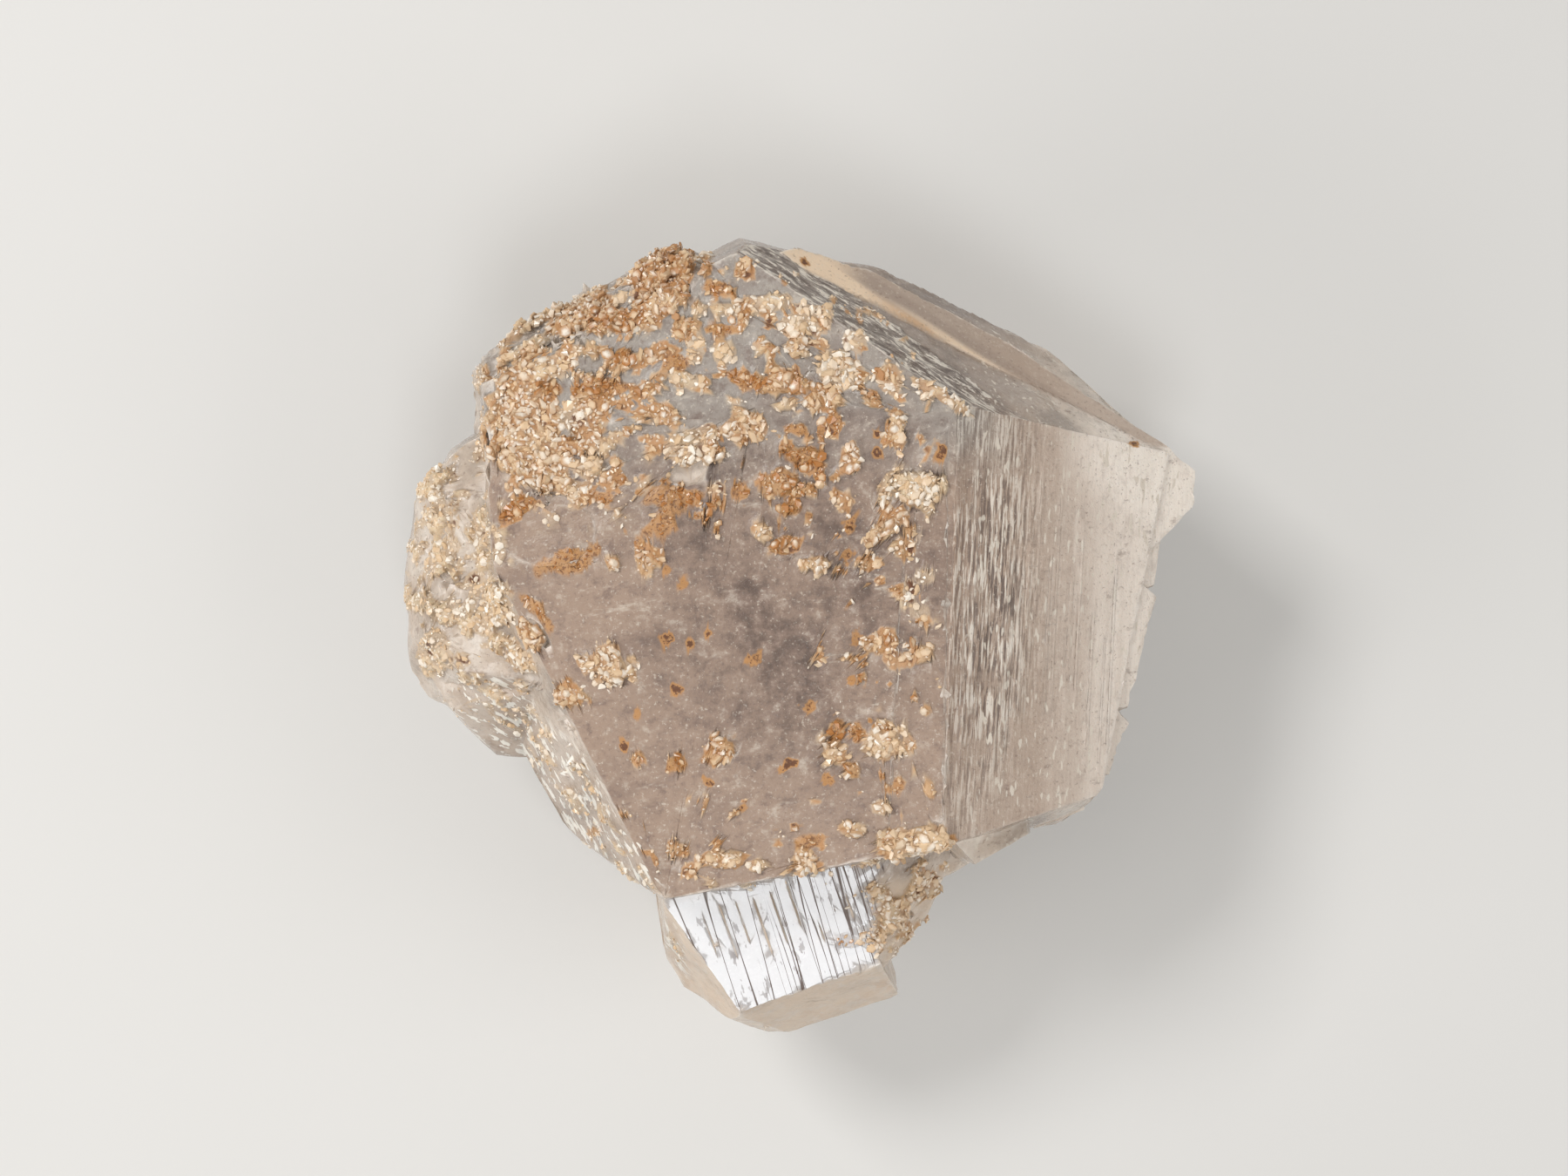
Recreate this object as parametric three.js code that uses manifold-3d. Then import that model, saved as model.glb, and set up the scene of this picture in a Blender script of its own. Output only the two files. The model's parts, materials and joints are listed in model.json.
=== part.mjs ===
// Quartz crystal: a short, thick crystal lying on its back, as it was broken from its pocket.
// Its large rhombohedron face looks up, and a striated prism face falls away to the right. A left
// lobe, a back shoulder and a small second crystal have grown on with it, and a crust of quartz
// grains sits on its upper side. It grew as one piece, so it is one solid.
// Millimetres, +Z up. Azimuth is measured from +X towards +Y, and tilt from +Z, both in degrees.

import * as THREE from 'three';
import { ConvexGeometry } from 'three/addons/geometries/ConvexGeometry.js';
import { mergeVertices } from 'three/addons/utils/BufferGeometryUtils.js';
import Module from 'manifold-3d';

const wasm = await Module();
wasm.setup();

// Driving dimensions.
const apex = [9.5, 14.3, 29.2];   // where the rhombohedron face, the prism face and the dark band meet
const rhombTilt = 6;              // slope of the large rhombohedron face, down to the left
const prismTilt = 32;             // slope of the striated prism face, down to the right
const girdle = 15;                // height at which the crystal is widest
const striationAzimuth = 267;     // the way the striations run, square to the crystal's long axis
const stepHeight = 0.35;          // a growth step on the large face
const grainRadius = 0.62;         // the largest common grain of the crust
const seed = 11;

// --- Flat-faced crystals ---

// The unit vector at an azimuth and a tilt.
function direction(azimuth, tilt) {
  const a = THREE.MathUtils.degToRad(azimuth);
  const t = THREE.MathUtils.degToRad(tilt);
  return new THREE.Vector3(Math.sin(t) * Math.cos(a), Math.sin(t) * Math.sin(a), Math.cos(t));
}

// One flat face: its outward normal, and a point that it passes through.
function face(azimuth, tilt, through) {
  return new THREE.Plane().setFromNormalAndCoplanarPoint(
    direction(azimuth, tilt), new THREE.Vector3(...through),
  );
}

// The corner where three planes meet, or null where two of them are parallel.
function corner(p, q, r) {
  const m = new THREE.Matrix3().set(
    p.normal.x, p.normal.y, p.normal.z,
    q.normal.x, q.normal.y, q.normal.z,
    r.normal.x, r.normal.y, r.normal.z,
  );
  if (Math.abs(m.determinant()) < 1e-6) return null;
  return new THREE.Vector3(-p.constant, -q.constant, -r.constant).applyMatrix3(m.invert());
}

// The convex crystal that lies behind every one of its faces.
function crystal(faces) {
  const corners = [];
  for (let i = 0; i < faces.length; i++) {
    for (let j = i + 1; j < faces.length; j++) {
      for (let k = j + 1; k < faces.length; k++) {
        const c = corner(faces[i], faces[j], faces[k]);
        if (c && faces.every((f) => f.distanceToPoint(c) < 1e-4)) corners.push(c);
      }
    }
  }
  return new ConvexGeometry(corners);
}

// A closed geometry as a solid that can be joined and cut.
function solid(geometry) {
  const bare = geometry.index ? geometry.toNonIndexed() : geometry.clone();
  bare.deleteAttribute('normal');
  bare.deleteAttribute('uv');
  const merged = mergeVertices(bare, 1e-3);
  return new wasm.Manifold(new wasm.Mesh({
    numProp: 3,
    vertProperties: merged.attributes.position.array,
    triVerts: new Uint32Array(merged.index.array),
  }));
}

// The point of a flat face above or below (x, y), lifted off it along its normal.
function onFace(plane, x, y, lift) {
  const z = -(plane.constant + plane.normal.x * x + plane.normal.y * y) / plane.normal.z;
  return new THREE.Vector3(x, y, z).addScaledVector(plane.normal, lift);
}

// --- The large crystal ---

const rest = face(0, 180, [0, 0, 0]);
const rhombFace = face(184, rhombTilt, apex);
const prismFace = face(357, prismTilt, apex);
const bandFace = face(58, 59, apex);
const rearEdge = [-12.4, 19.7, 26.9];   // a point of the large face's left rear edge

// The large crystal, with its two upper faces raised by a little where its relief is cut to it.
function largeCrystal(raised) {
  return crystal([
    rhombFace.clone().translate(new THREE.Vector3(0, 0, raised)),
    prismFace.clone().translate(new THREE.Vector3(0, 0, raised)),
    bandFace,
    face(281, 84, [9.0, -12.8, 28.9]),
    face(293.5, 76, [9.0, -12.8, 28.9]),
    face(118, 79, rearEdge),
    face(78, 82, [-3.2, 24.7, 25.0]),
    face(183, 81, [-19.7, 8.0, 25.9]),
    face(206, 66, [-14.1, -6.0, 26.6]),
    face(236, 84, [-9.3, -16.0, 27.0]),
    face(346.5, 106, [21.6, 2.0, 21.0]),
    face(104, 108, [-3, 24.3, girdle]),
    face(70, 112, [9, 20.5, girdle]),
    face(38, 116, [19, 13.5, girdle]),
    face(252, 110, [-4, -17.6, girdle]),
    face(292, 108, [8, -15.5, girdle]),
    face(318, 118, [17, -11.5, girdle]),
    face(178, 113, [-22.5, 3.0, girdle]),
    face(216, 116, [-16.6, -10.2, girdle]),
    face(232, 110, [-12.2, -15.0, girdle]),
    face(143, 112, [-19.2, 15.9, girdle]),
    face(8, 124, [19, 4, 9.0]),
    rest,
  ]);
}

// --- What has grown on it ---

// The lower, smooth shoulder behind the dark band.
function backShoulder() {
  return crystal([
    face(55, 48, [1.5, 22.4, 24.8]),
    face(0, 0, [0, 0, 25.0]),
    prismFace.clone().translate(new THREE.Vector3(0, 0, -0.25)),
    face(116, 92, [-1.6, 24.0, 22.0]),
    face(76, 94, [2.3, 23.9, 22.4]),
    face(64, 97, [7.8, 21.5, 20.8]),
    face(58, 97, [14.8, 17.7, 19.8]),
    face(60, 97, [22.1, 13.5, 19.0]),
    face(2, 99, [25.7, 10.6, 18.6]),
    face(310, 98, [24.9, 7.9, 18.0]),
    face(66, 122, [9, 21.4, 14.5]),
    face(40, 124, [20, 15, 13.5]),
    face(0, 128, [24.5, 10, 13.0]),
    face(100, 118, [0, 24.4, 14.0]),
    face(200, 90, [-3, 15, 15]),
    face(250, 90, [5, 4, 15]),
    rest,
  ]);
}

// The lower lobe along the left side.
function leftLobe() {
  return [
    crystal([
      face(150, 36, [-22.4, 9.6, 21.2]),
      face(184, 30, [-21.6, 4.0, 21.4]),
      face(178, 58, [-24.6, 4.0, 19.2]),
      face(118, 84, [-22.2, 12.9, girdle]),
      face(146, 82, [-24.6, 10.4, girdle]),
      face(172, 83, [-26.0, 6.4, girdle]),
      face(184, 80, [-26.3, 1.5, girdle]),
      face(216, 62, [-24.6, -2.5, 17.0]),
      face(248, 66, [-21.0, -3.5, 19.5]),
      face(160, 124, [-24.6, 8, 12.0]),
      face(190, 122, [-25.0, 1, 12.0]),
      face(115, 118, [-21.5, 12.5, 12.0]),
      face(235, 122, [-22.5, -4, 12.0]),
      face(0, 90, [-14, 0, girdle]),
      face(0, 180, [-20, 0, 3.5]),
    ]),
    crystal([
      face(205, 40, [-22.6, -3.2, 18.4]),
      face(250, 58, [-20.6, -6.0, 17.2]),
      face(206, 80, [-25.1, -2.4, girdle]),
      face(226, 82, [-22.9, -5.5, girdle]),
      face(262, 88, [-19.6, -8.2, girdle]),
      face(165, 85, [-25.4, 1.5, girdle]),
      face(215, 124, [-23, -4.6, 12.0]),
      face(80, 90, [-20, 3.0, girdle]),
      face(0, 90, [-15, -4, girdle]),
      face(0, 180, [-20, 0, 5.0]),
    ]),
  ];
}

// Steps down from the large face to the left rear rim, each lower than the last.
function rearTerraces() {
  return [
    { out: 0.9, drop: 0.8, left: -19.2, right: -5.4, foot: 21 },
    { out: 1.7, drop: 1.9, left: -20.2, right: -7.0, foot: 19 },
    { out: 2.5, drop: 4.6, left: -18.4, right: -9.2, foot: 15 },
  ].map(({ out, drop, left, right, foot }) => {
    const rim = new THREE.Vector3(...rearEdge).addScaledVector(direction(118, 90), out);
    return crystal([
      rhombFace.clone().translate(new THREE.Vector3(0, 0, -drop)),
      face(118, 86, [rim.x, rim.y, rim.z - drop]),
      face(196, 74, [left, 16.5, 24.0]),
      face(46, 70, [right, 22.5, 24.0]),
      face(298, 90, [-12.5, 16.0, 24.0]),
      face(122, 132, [rim.x, rim.y, foot]),
      face(0, 180, [0, 0, 10.0]),
    ]);
  });
}

// The small second crystal at the front, with its own bright prism face, and its broken right end.
function smallCrystal() {
  return [
    crystal([
      face(288, 6, [-2.0, -20.0, 21.0]),
      face(289, 58, [0.2, -22.7, 21.0]),
      face(217, 66, [-6.1, -21.4, 21.0]),
      face(186, 84, [-9.1, -19.0, 18.5]),
      face(262, 74, [-4.0, -25.9, 16.5]),
      face(289, 96, [1.2, -25.8, girdle]),
      face(240, 88, [-6.4, -24.4, girdle]),
      face(21, 86, [4.2, -19.0, 20.6]),
      face(289, 122, [1.0, -25.5, 12.5]),
      face(215, 122, [-7.5, -21.5, 12.5]),
      face(108, 90, [0, -9, girdle]),
      face(262, 160, [0, -20, 5.0]),
      face(0, 180, [0, 0, 3.0]),
    ]),
    crystal([
      face(306, 16, [5.6, -18.6, 20.4]),
      face(330, 50, [7.8, -18.0, 18.8]),
      face(296, 60, [4.4, -22.6, 18.0]),
      face(341, 86, [9.0, -16.9, girdle]),
      face(320, 88, [6.1, -21.2, girdle]),
      face(298, 92, [3.6, -24.2, girdle]),
      face(200, 88, [0.4, -20.0, girdle]),
      face(320, 122, [6.4, -20.0, 12.0]),
      face(108, 90, [0, -9, girdle]),
      face(300, 156, [2, -17, 6.0]),
      face(0, 180, [0, 0, 4.0]),
    ]),
  ];
}

// Ledges on the sides, where the edges and the underside broke away: how far each reaches along
// the side, how high its top slopes up and how deep its underside slopes back.
function ledges() {
  const places = [
    { at: [12.6, -13.6, 20.0], azimuth: 298, half: 2.4, up: 3.4, down: 3.0 },
    { at: [16.6, -12.0, 17.5], azimuth: 292, half: 2.0, up: 2.2, down: 3.4 },
    { at: [23.0, 4.6, 19.2], azimuth: 352, half: 1.6, up: 0.8, down: 5.2 },
    { at: [21.9, -1.2, 18.8], azimuth: 345, half: 3.9, up: 1.8, down: 1.8 },
    { at: [20.3, -7.4, 17.2], azimuth: 338, half: 2.2, up: 3.4, down: 5.6 },
    { at: [20.4, 2.0, 11.5], azimuth: 350, half: 5.6, up: 1.6, down: 3.4 },
    { at: [-3.6, -17.6, 13.5], azimuth: 262, half: 3.6, up: 2.0, down: 3.0 },
    { at: [9.4, -16.4, 11.5], azimuth: 296, half: 4.2, up: 2.4, down: 2.6 },
    { at: [-15.8, 19.2, 12.5], azimuth: 128, half: 3.4, up: 1.8, down: 3.6 },
    { at: [-2.6, 24.2, 12.0], azimuth: 98, half: 4.4, up: 1.4, down: 3.2 },
    { at: [11.6, 20.0, 10.5], azimuth: 64, half: 4.0, up: 1.8, down: 3.4 },
    { at: [-21.6, -1.0, 8.5], azimuth: 196, half: 4.6, up: 1.6, down: 2.8 },
  ];
  return places.map(({ at, azimuth, half, up, down }) => {
    const [x, y, z] = at;
    const along = direction(azimuth + 90, 90);
    return crystal([
      face(azimuth, 93, at),
      face(azimuth + 64, 86, [x + along.x * half, y + along.y * half, z]),
      face(azimuth - 70, 84, [x - along.x * half, y - along.y * half, z]),
      face(azimuth + 8, 34, [x, y, z + up]),
      face(azimuth - 6, 136, [x, y, z - down]),
      face(azimuth + 180, 90, [x - 6 * Math.cos(THREE.MathUtils.degToRad(azimuth)),
        y - 6 * Math.sin(THREE.MathUtils.degToRad(azimuth)), z]),
      prismFace,
      face(0, 180, [0, 0, 1.5]),
    ]);
  });
}

// --- Relief on the faces ---

// A growth layer on a face: a low, flat plate over a convex outline of (x, y) points.
function plate(plane, outline, height) {
  return new ConvexGeometry(outline.flatMap(([x, y]) => [
    onFace(plane, x, y, -0.8),
    onFace(plane, x, y, height),
  ]));
}

// Growth layers of the large face: the upper field, the right-hand margin and a round hillock.
function growthLayers() {
  const hillock = [];
  for (let i = 0; i < 14; i++) {
    const a = (2 * Math.PI * i) / 14;
    hillock.push([-16.0 + 3.1 * Math.cos(a), 6.6 + 2.3 * Math.sin(a)]);
  }
  return [
    plate(rhombFace, [[-19.4, 16.2], [-19.0, 11.4], [-12.6, 10.2], [-3.0, 14.2], [-2.0, 18.6], [-6.0, 23.6]], stepHeight),
    plate(rhombFace, [[-18.8, 15.8], [-18.2, 12.6], [-13.6, 12.6], [-7.4, 17.6], [-8.4, 22.2]], 2 * stepHeight),
    plate(rhombFace, [[-3.4, 20.0], [1.0, 14.6], [6.8, 13.6], [8.9, 14.2]], stepHeight),
    plate(rhombFace, [[6.6, 11.0], [8.9, 13.0], [8.7, -11.6], [5.2, -12.4], [5.8, 0.0]], 0.7 * stepHeight),
    plate(rhombFace, hillock, 1.4 * stepHeight),
  ];
}

// One striation: a low ridge along a face, with a roof section and pointed ends.
function ridge(plane, start, run, length, width, height) {
  const side = new THREE.Vector3().crossVectors(plane.normal, run).setLength(width / 2);
  const points = [];
  for (const share of [0.12, 0.88]) {
    const x = start[0] + run.x * length * share;
    const y = start[1] + run.y * length * share;
    points.push(onFace(plane, x, y, -0.3).add(side), onFace(plane, x, y, -0.3).sub(side));
    points.push(onFace(plane, x, y, height));
  }
  points.push(onFace(plane, start[0], start[1], -0.1));
  points.push(onFace(plane, start[0] + run.x * length, start[1] + run.y * length, -0.1));
  return new ConvexGeometry(points);
}

// Striations of the prism face, closest together beside the ridge.
function striations(random) {
  const run = direction(striationAzimuth, 90);
  const made = [];
  for (let i = 0; i < 22; i++) {
    const across = 0.5 + 12.2 * (i / 21) ** 1.5;
    const length = 6 + 15 * random();
    const start = 12.6 - 0.18 * across - (22.5 - length) * random();
    made.push(ridge(prismFace, [10.0 + across, start], run, length, 0.5 + 0.5 * random(), 0.12 + 0.2 * random()));
  }
  return made;
}

// Striations of the small crystal's bright face.
function smallStriations(random) {
  const top = face(288, 6, [-2.0, -20.0, 21.0]);
  const run = direction(289, 90);
  const made = [];
  for (let i = 0; i < 9; i++) {
    const start = [-6.6 + 1.1 * i, -17.3 + 0.35 * i - 0.6 * random()];
    made.push(ridge(top, start, run, 3.2 + 1.6 * random(), 0.5, 0.1 + 0.12 * random()));
  }
  return made;
}

// A pit in the large face, the gap beside it, and a crack down the left wall.
function hollows() {
  const shapes = [
    { at: [-7.2, 10.2, 27.6], size: [1.5, 0.8, 0.9], azimuth: 20 },
    { at: [-16.6, 0.2, 26.6], size: [0.45, 1.4, 0.8], azimuth: 35 },
    { at: [-19.9, 11.6, 25.4], size: [0.35, 2.6, 1.6], azimuth: 3 },
    { at: [4.4, -16.6, 20.9], size: [0.9, 0.6, 0.6], azimuth: 30 },
    { at: [20.6, 6.8, 23.0], size: [0.5, 1.6, 0.5], azimuth: 0 },
  ];
  return shapes.map(({ at, size, azimuth }) => {
    const shape = new THREE.IcosahedronGeometry(1, 0);
    shape.scale(...size);
    shape.rotateZ(THREE.MathUtils.degToRad(azimuth));
    return shape.translate(...at);
  });
}

// --- The crust of grains ---

// Where the crust grows: the middle of each patch, half its length and width, the way its length
// runs, how many grains it has, and how large they are beside the common ones. A patch is laid on
// from above unless it names another side.
const patches = [
  { at: [-15.6, 11.9], half: [3.6, 4.4], turn: 0, count: 26, scale: 1.1 },
  { at: [-8.3, 22.4], half: [2.2, 1.5], turn: 20, count: 15, scale: 1.6 },
  { at: [-13.8, 18.9], half: [4.4, 1.5], turn: 28, count: 19, scale: 1.15 },
  { at: [1.4, 16.8], half: [2.6, 2.6], turn: 0, count: 14, scale: 1.0 },
  { at: [-4.7, 12.2], half: [3.4, 1.7], turn: 12, count: 12, scale: 1.0 },
  { at: [6.7, 8.7], half: [1.8, 1.8], turn: 0, count: 8, scale: 1.0 },
  { at: [-0.9, 4.9], half: [1.9, 1.4], turn: 0, count: 7, scale: 0.9 },
  { at: [6.9, 2.2], half: [1.0, 1.6], turn: 0, count: 4, scale: 0.8 },
  { at: [5.9, -1.1], half: [2.0, 1.2], turn: 0, count: 7, scale: 1.0 },
  { at: [3.7, -6.2], half: [2.8, 1.7], turn: 0, count: 9, scale: 0.9 },
  { at: [-4.7, -7.0], half: [1.0, 0.9], turn: 0, count: 4, scale: 1.0 },
  { at: [-13.7, 4.9], half: [2.0, 0.7], turn: 5, count: 5, scale: 0.9 },
  { at: [-8.5, 8.5], half: [2.2, 1.1], turn: 20, count: 7, scale: 0.9 },
  { at: [-7.2, -14.4], half: [1.1, 0.7], turn: 10, count: 3, scale: 0.9 },
  { at: [6.6, -12.4], half: [2.2, 0.9], turn: 10, count: 6, scale: 0.9 },
  { at: [-23.4, 5.0], half: [2.0, 6.2], turn: 0, count: 30, scale: 1.1 },
  { at: [-15.6, -6.4], half: [5.0, 1.3], turn: 298, count: 14, scale: 0.9 },
  { at: [6.4, -18.6], half: [2.4, 2.6], turn: 0, count: 12, scale: 1.1 },
  { at: [-20, 8, 23.4], half: [5.5, 1.2], turn: 0, count: 10, scale: 0.9, side: 183 },
  { at: [-14, 22, 20], half: [6.0, 4.0], turn: 0, count: 14, scale: 1.2, side: 118 },
  { at: [0, -16, 20], half: [7.0, 5.0], turn: 0, count: 8, scale: 1.0, side: 281 },
];

function mulberry(state) {
  let s = state;
  return () => {
    s = (s + 0x6d2b79f5) | 0;
    let t = Math.imul(s ^ (s >>> 15), 1 | s);
    t = (t + Math.imul(t ^ (t >>> 7), 61 | t)) ^ t;
    return ((t ^ (t >>> 14)) >>> 0) / 4294967296;
  };
}

// One grain of a patch: a six-sided point that stands on the surface and leans a little. There is
// none where the patch reaches past the edge.
function grain(target, patch, random) {
  const turn = THREE.MathUtils.degToRad(patch.turn);
  const reach = Math.sqrt(random());
  const around = 2 * Math.PI * random();
  const u = reach * patch.half[0] * Math.cos(around);
  const v = reach * patch.half[1] * Math.sin(around);
  const along = u * Math.cos(turn) - v * Math.sin(turn);
  const across = u * Math.sin(turn) + v * Math.cos(turn);
  const inward = patch.side === undefined
    ? new THREE.Vector3(0, 0, -1)
    : direction(patch.side, 90).negate();
  const start = patch.side === undefined
    ? new THREE.Vector3(patch.at[0] + along, patch.at[1] + across, 60)
    : new THREE.Vector3(...patch.at)
      .addScaledVector(direction(patch.side + 90, 90), along)
      .addScaledVector(inward, -40);
  if (patch.side !== undefined) start.z += across;

  const [hit] = new THREE.Raycaster(start, inward).intersectObject(target);
  if (!hit) return null;
  const radius = grainRadius * patch.scale * (0.6 + 0.5 * random());
  const height = radius * (0.7 + 0.7 * random());
  const lean = new THREE.Vector3(random() - 0.5, random() - 0.5, random() - 0.5);
  const axis = hit.face.normal.clone().addScaledVector(lean, 0.9).normalize();
  const point = new THREE.ConeGeometry(radius, height + 0.5, 6);
  point.rotateY(2 * Math.PI * random());
  point.translate(0, height / 2 - 0.25, 0);
  point.applyQuaternion(new THREE.Quaternion().setFromUnitVectors(new THREE.Vector3(0, 1, 0), axis));
  return point.translate(hit.point.x, hit.point.y, hit.point.z);
}

function crust(target, random) {
  const grains = [];
  for (const patch of patches) {
    for (let i = 0; i < patch.count; i++) grains.push(grain(target, patch, random));
  }
  return grains.filter((g) => g);
}

// --- Joining ---

// A solid as a mesh with flat facets.
function meshOf(made, name, material) {
  const data = made.getMesh();
  const geometry = new THREE.BufferGeometry();
  geometry.setAttribute('position', new THREE.BufferAttribute(data.vertProperties, 3));
  geometry.setIndex(new THREE.BufferAttribute(data.triVerts, 1));
  const flat = geometry.toNonIndexed();
  flat.computeVertexNormals();
  const mesh = new THREE.Mesh(flat, material);
  mesh.name = name;
  return mesh;
}

const random = mulberry(seed);
const quartz = new THREE.MeshStandardMaterial({ color: 0xb5a79c, roughness: 0.35, metalness: 0 });
const relief = wasm.Manifold.union([...growthLayers(), ...striations(random)].map(solid))
  .intersect(solid(largeCrystal(1)));
const crystals = [
  largeCrystal(0),
  backShoulder(),
  ...leftLobe(),
  ...rearTerraces(),
  ...smallCrystal(),
  ...ledges(),
  ...smallStriations(random),
].map(solid);
let body = wasm.Manifold.union([...crystals, relief]);
body = body.subtract(wasm.Manifold.union(hollows().map(solid)));
const bare = meshOf(body, 'bare', quartz);
body = wasm.Manifold.union([body, ...crust(bare, random).map(solid)]);

// Where two pieces all but touch, the join can leave a loose speck, so only the large piece is kept.
[body] = body.decompose().sort((a, b) => b.volume() - a.volume());

// The origin is at the middle of the rest face's level, under the middle of the whole outline.
const { min, max } = body.boundingBox();
body = body.translate([-(min[0] + max[0]) / 2, -(min[1] + max[1]) / 2, -min[2]]);

const group = new THREE.Group();
group.add(meshOf(body, 'quartz_crystal', quartz));
export default group;
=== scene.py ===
# %% [markdown]
# # A quartz crystal with a crust of fine grains
# A short, thick crystal of milky quartz lies on its back. Its big face looks up, and a second
# generation of tiny quartz grains, stained by iron, has settled on it. The solid from the packed
# frame gives every form its place. Here it gets its fine relief, its crust and its finishes.

# %% Load the frame
import itertools
import json
import math

import bmesh
import bpy
import numpy as np
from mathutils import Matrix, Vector

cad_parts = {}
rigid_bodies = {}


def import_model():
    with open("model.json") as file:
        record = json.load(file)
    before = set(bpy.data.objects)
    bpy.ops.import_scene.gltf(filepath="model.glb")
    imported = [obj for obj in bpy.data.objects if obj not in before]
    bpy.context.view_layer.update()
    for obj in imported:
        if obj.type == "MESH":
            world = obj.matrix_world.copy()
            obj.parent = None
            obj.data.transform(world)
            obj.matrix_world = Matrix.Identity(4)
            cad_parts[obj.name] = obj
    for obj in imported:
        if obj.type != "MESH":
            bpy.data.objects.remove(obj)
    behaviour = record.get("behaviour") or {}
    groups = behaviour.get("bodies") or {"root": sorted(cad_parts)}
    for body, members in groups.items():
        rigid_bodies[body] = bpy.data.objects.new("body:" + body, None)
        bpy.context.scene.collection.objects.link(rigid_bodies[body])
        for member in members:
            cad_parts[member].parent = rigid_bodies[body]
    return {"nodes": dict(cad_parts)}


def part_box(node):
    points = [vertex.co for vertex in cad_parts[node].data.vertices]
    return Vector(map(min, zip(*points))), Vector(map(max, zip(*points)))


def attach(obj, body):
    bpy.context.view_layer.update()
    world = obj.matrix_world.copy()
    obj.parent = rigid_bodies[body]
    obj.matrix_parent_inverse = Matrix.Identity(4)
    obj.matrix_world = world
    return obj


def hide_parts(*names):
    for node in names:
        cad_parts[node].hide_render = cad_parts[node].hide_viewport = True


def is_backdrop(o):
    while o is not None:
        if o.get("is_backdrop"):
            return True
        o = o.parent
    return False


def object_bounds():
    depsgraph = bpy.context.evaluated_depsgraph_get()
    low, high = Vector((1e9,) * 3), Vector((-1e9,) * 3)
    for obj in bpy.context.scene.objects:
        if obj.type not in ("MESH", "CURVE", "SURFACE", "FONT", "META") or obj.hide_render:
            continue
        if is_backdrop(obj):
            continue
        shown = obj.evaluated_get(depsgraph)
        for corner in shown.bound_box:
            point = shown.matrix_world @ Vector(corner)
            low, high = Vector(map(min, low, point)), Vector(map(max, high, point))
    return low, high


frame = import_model()
MM = 0.001
cad_low, cad_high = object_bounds()
low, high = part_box("quartz_crystal")
size = high - low
print("box in mm:", [round(side / MM, 2) for side in size])

# %% [markdown]
# ## Camera
# The crystal is looked at from straight above, from about 200 mm, with a slightly long lens. A
# camera that points down needs no rotation, because -Z is where a Blender camera looks.

# %% Camera
LENS = 66.67
CAMERA_PLACE = (-0.788 * MM, 3.612 * MM, 208 * MM)

scene = bpy.context.scene


def new_object(name, data):
    """A new object in the scene, with the given mesh, light or camera."""
    thing = bpy.data.objects.new(name, data)
    scene.collection.objects.link(thing)
    return thing


camera_data = bpy.data.cameras.new("camera")
camera_data.lens = LENS
camera_data.clip_start = 5 * MM
camera = new_object("camera", camera_data)
camera.location = CAMERA_PLACE
scene.camera = camera
print("camera at", [round(x / MM, 1) for x in camera.location], "mm")

# %% [markdown]
# ## Studio
# Plain soft light shows a milky stone best: one wide softbox high on the left, weak ones on the
# right and low on the left, and a pale room. One more, smaller and cooler, stands where the small
# crystal's flat face mirrors it to the camera, because that face is bright like a mirror.
# None of this belongs to the object.

# %% Floor, room and lights
FLOOR_SIDE = 2.4
ROOM_COLOUR = (0.93, 0.91, 0.88, 1)
ROOM_STRENGTH = 0.4
COOL_LIGHT = (0.92, 0.96, 1)


def softbox(name, place, target, side, power):
    """A square area light at place, turned to target, both in mm."""
    data = bpy.data.lights.new(name, "AREA")
    data.size = side * MM
    data.energy = power
    light = new_object(name, data)
    light.location = Vector(place) * MM
    away = Vector(place) - Vector(target)
    light.rotation_mode = "QUATERNION"
    light.rotation_quaternion = away.to_track_quat("Z", "Y")
    return light


softbox("key", (-190, 150, 330), (0, 0, 15), 110, 0.72)
softbox("fill", (260, -60, 240), (0, 0, 15), 200, 0.24)
softbox("left_fill", (-260, -110, 170), (0, 0, 12), 160, 0.26)
mirror = softbox("mirror_light", (6, -134, 352), (-6, -20, 21), 100, 0.29)
mirror.data.color = COOL_LIGHT

half = FLOOR_SIDE / 2
floor_mesh = bpy.data.meshes.new("floor")
floor_corners = [(x * half, y * half, 0) for x, y in ((-1, -1), (1, -1), (1, 1), (-1, 1))]
floor_mesh.from_pydata(floor_corners, [], [(0, 1, 2, 3)])
floor = new_object("floor", floor_mesh)
floor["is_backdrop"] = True

world = bpy.data.worlds.new("room")
world.use_nodes = True
glow = world.node_tree.nodes["Background"].inputs
glow["Color"].default_value = ROOM_COLOUR
glow["Strength"].default_value = ROOM_STRENGTH
scene.world = world
scene.view_settings.view_transform = "Standard"
scene.cycles.use_denoising = True
scene.cycles.max_bounces = 4
scene.cycles.diffuse_bounces = 2
scene.cycles.glossy_bounces = 2
scene.cycles.transmission_bounces = 3
scene.cycles.sample_clamp_indirect = 4

# %% [markdown]
# ## Soft random fields
# Nature's unevenness comes from one tool: random values on a lattice, blended smoothly between
# its points. A seed fixes each field. Stretching the space it is read in turns round clouds into
# streaks or striations.

# %% Clouds
LATTICE = 32


def clouds(space, width, seed):
    """Smooth random values from 0 to 1 over space, with clouds of the given width."""
    table = np.random.default_rng(seed).random([LATTICE] * 3)
    scaled = space / width
    cell = np.floor(scaled).astype(int)
    part = scaled - cell
    part = part * part * (3 - 2 * part)
    total = np.zeros(len(space))
    for corner in itertools.product((0, 1), repeat=3):
        share = np.prod(np.where(corner, part, 1 - part), axis=1)
        total += share * table[tuple(((cell + corner) % LATTICE).T)]
    return total


def rough_clouds(space, width, seed):
    """Clouds with finer clouds on them, from 0 to 1."""
    return (clouds(space, width, seed) * 4 + clouds(space, width / 2.1, seed + 1) * 2
            + clouds(space, width / 4.3, seed + 2)) / 7


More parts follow.
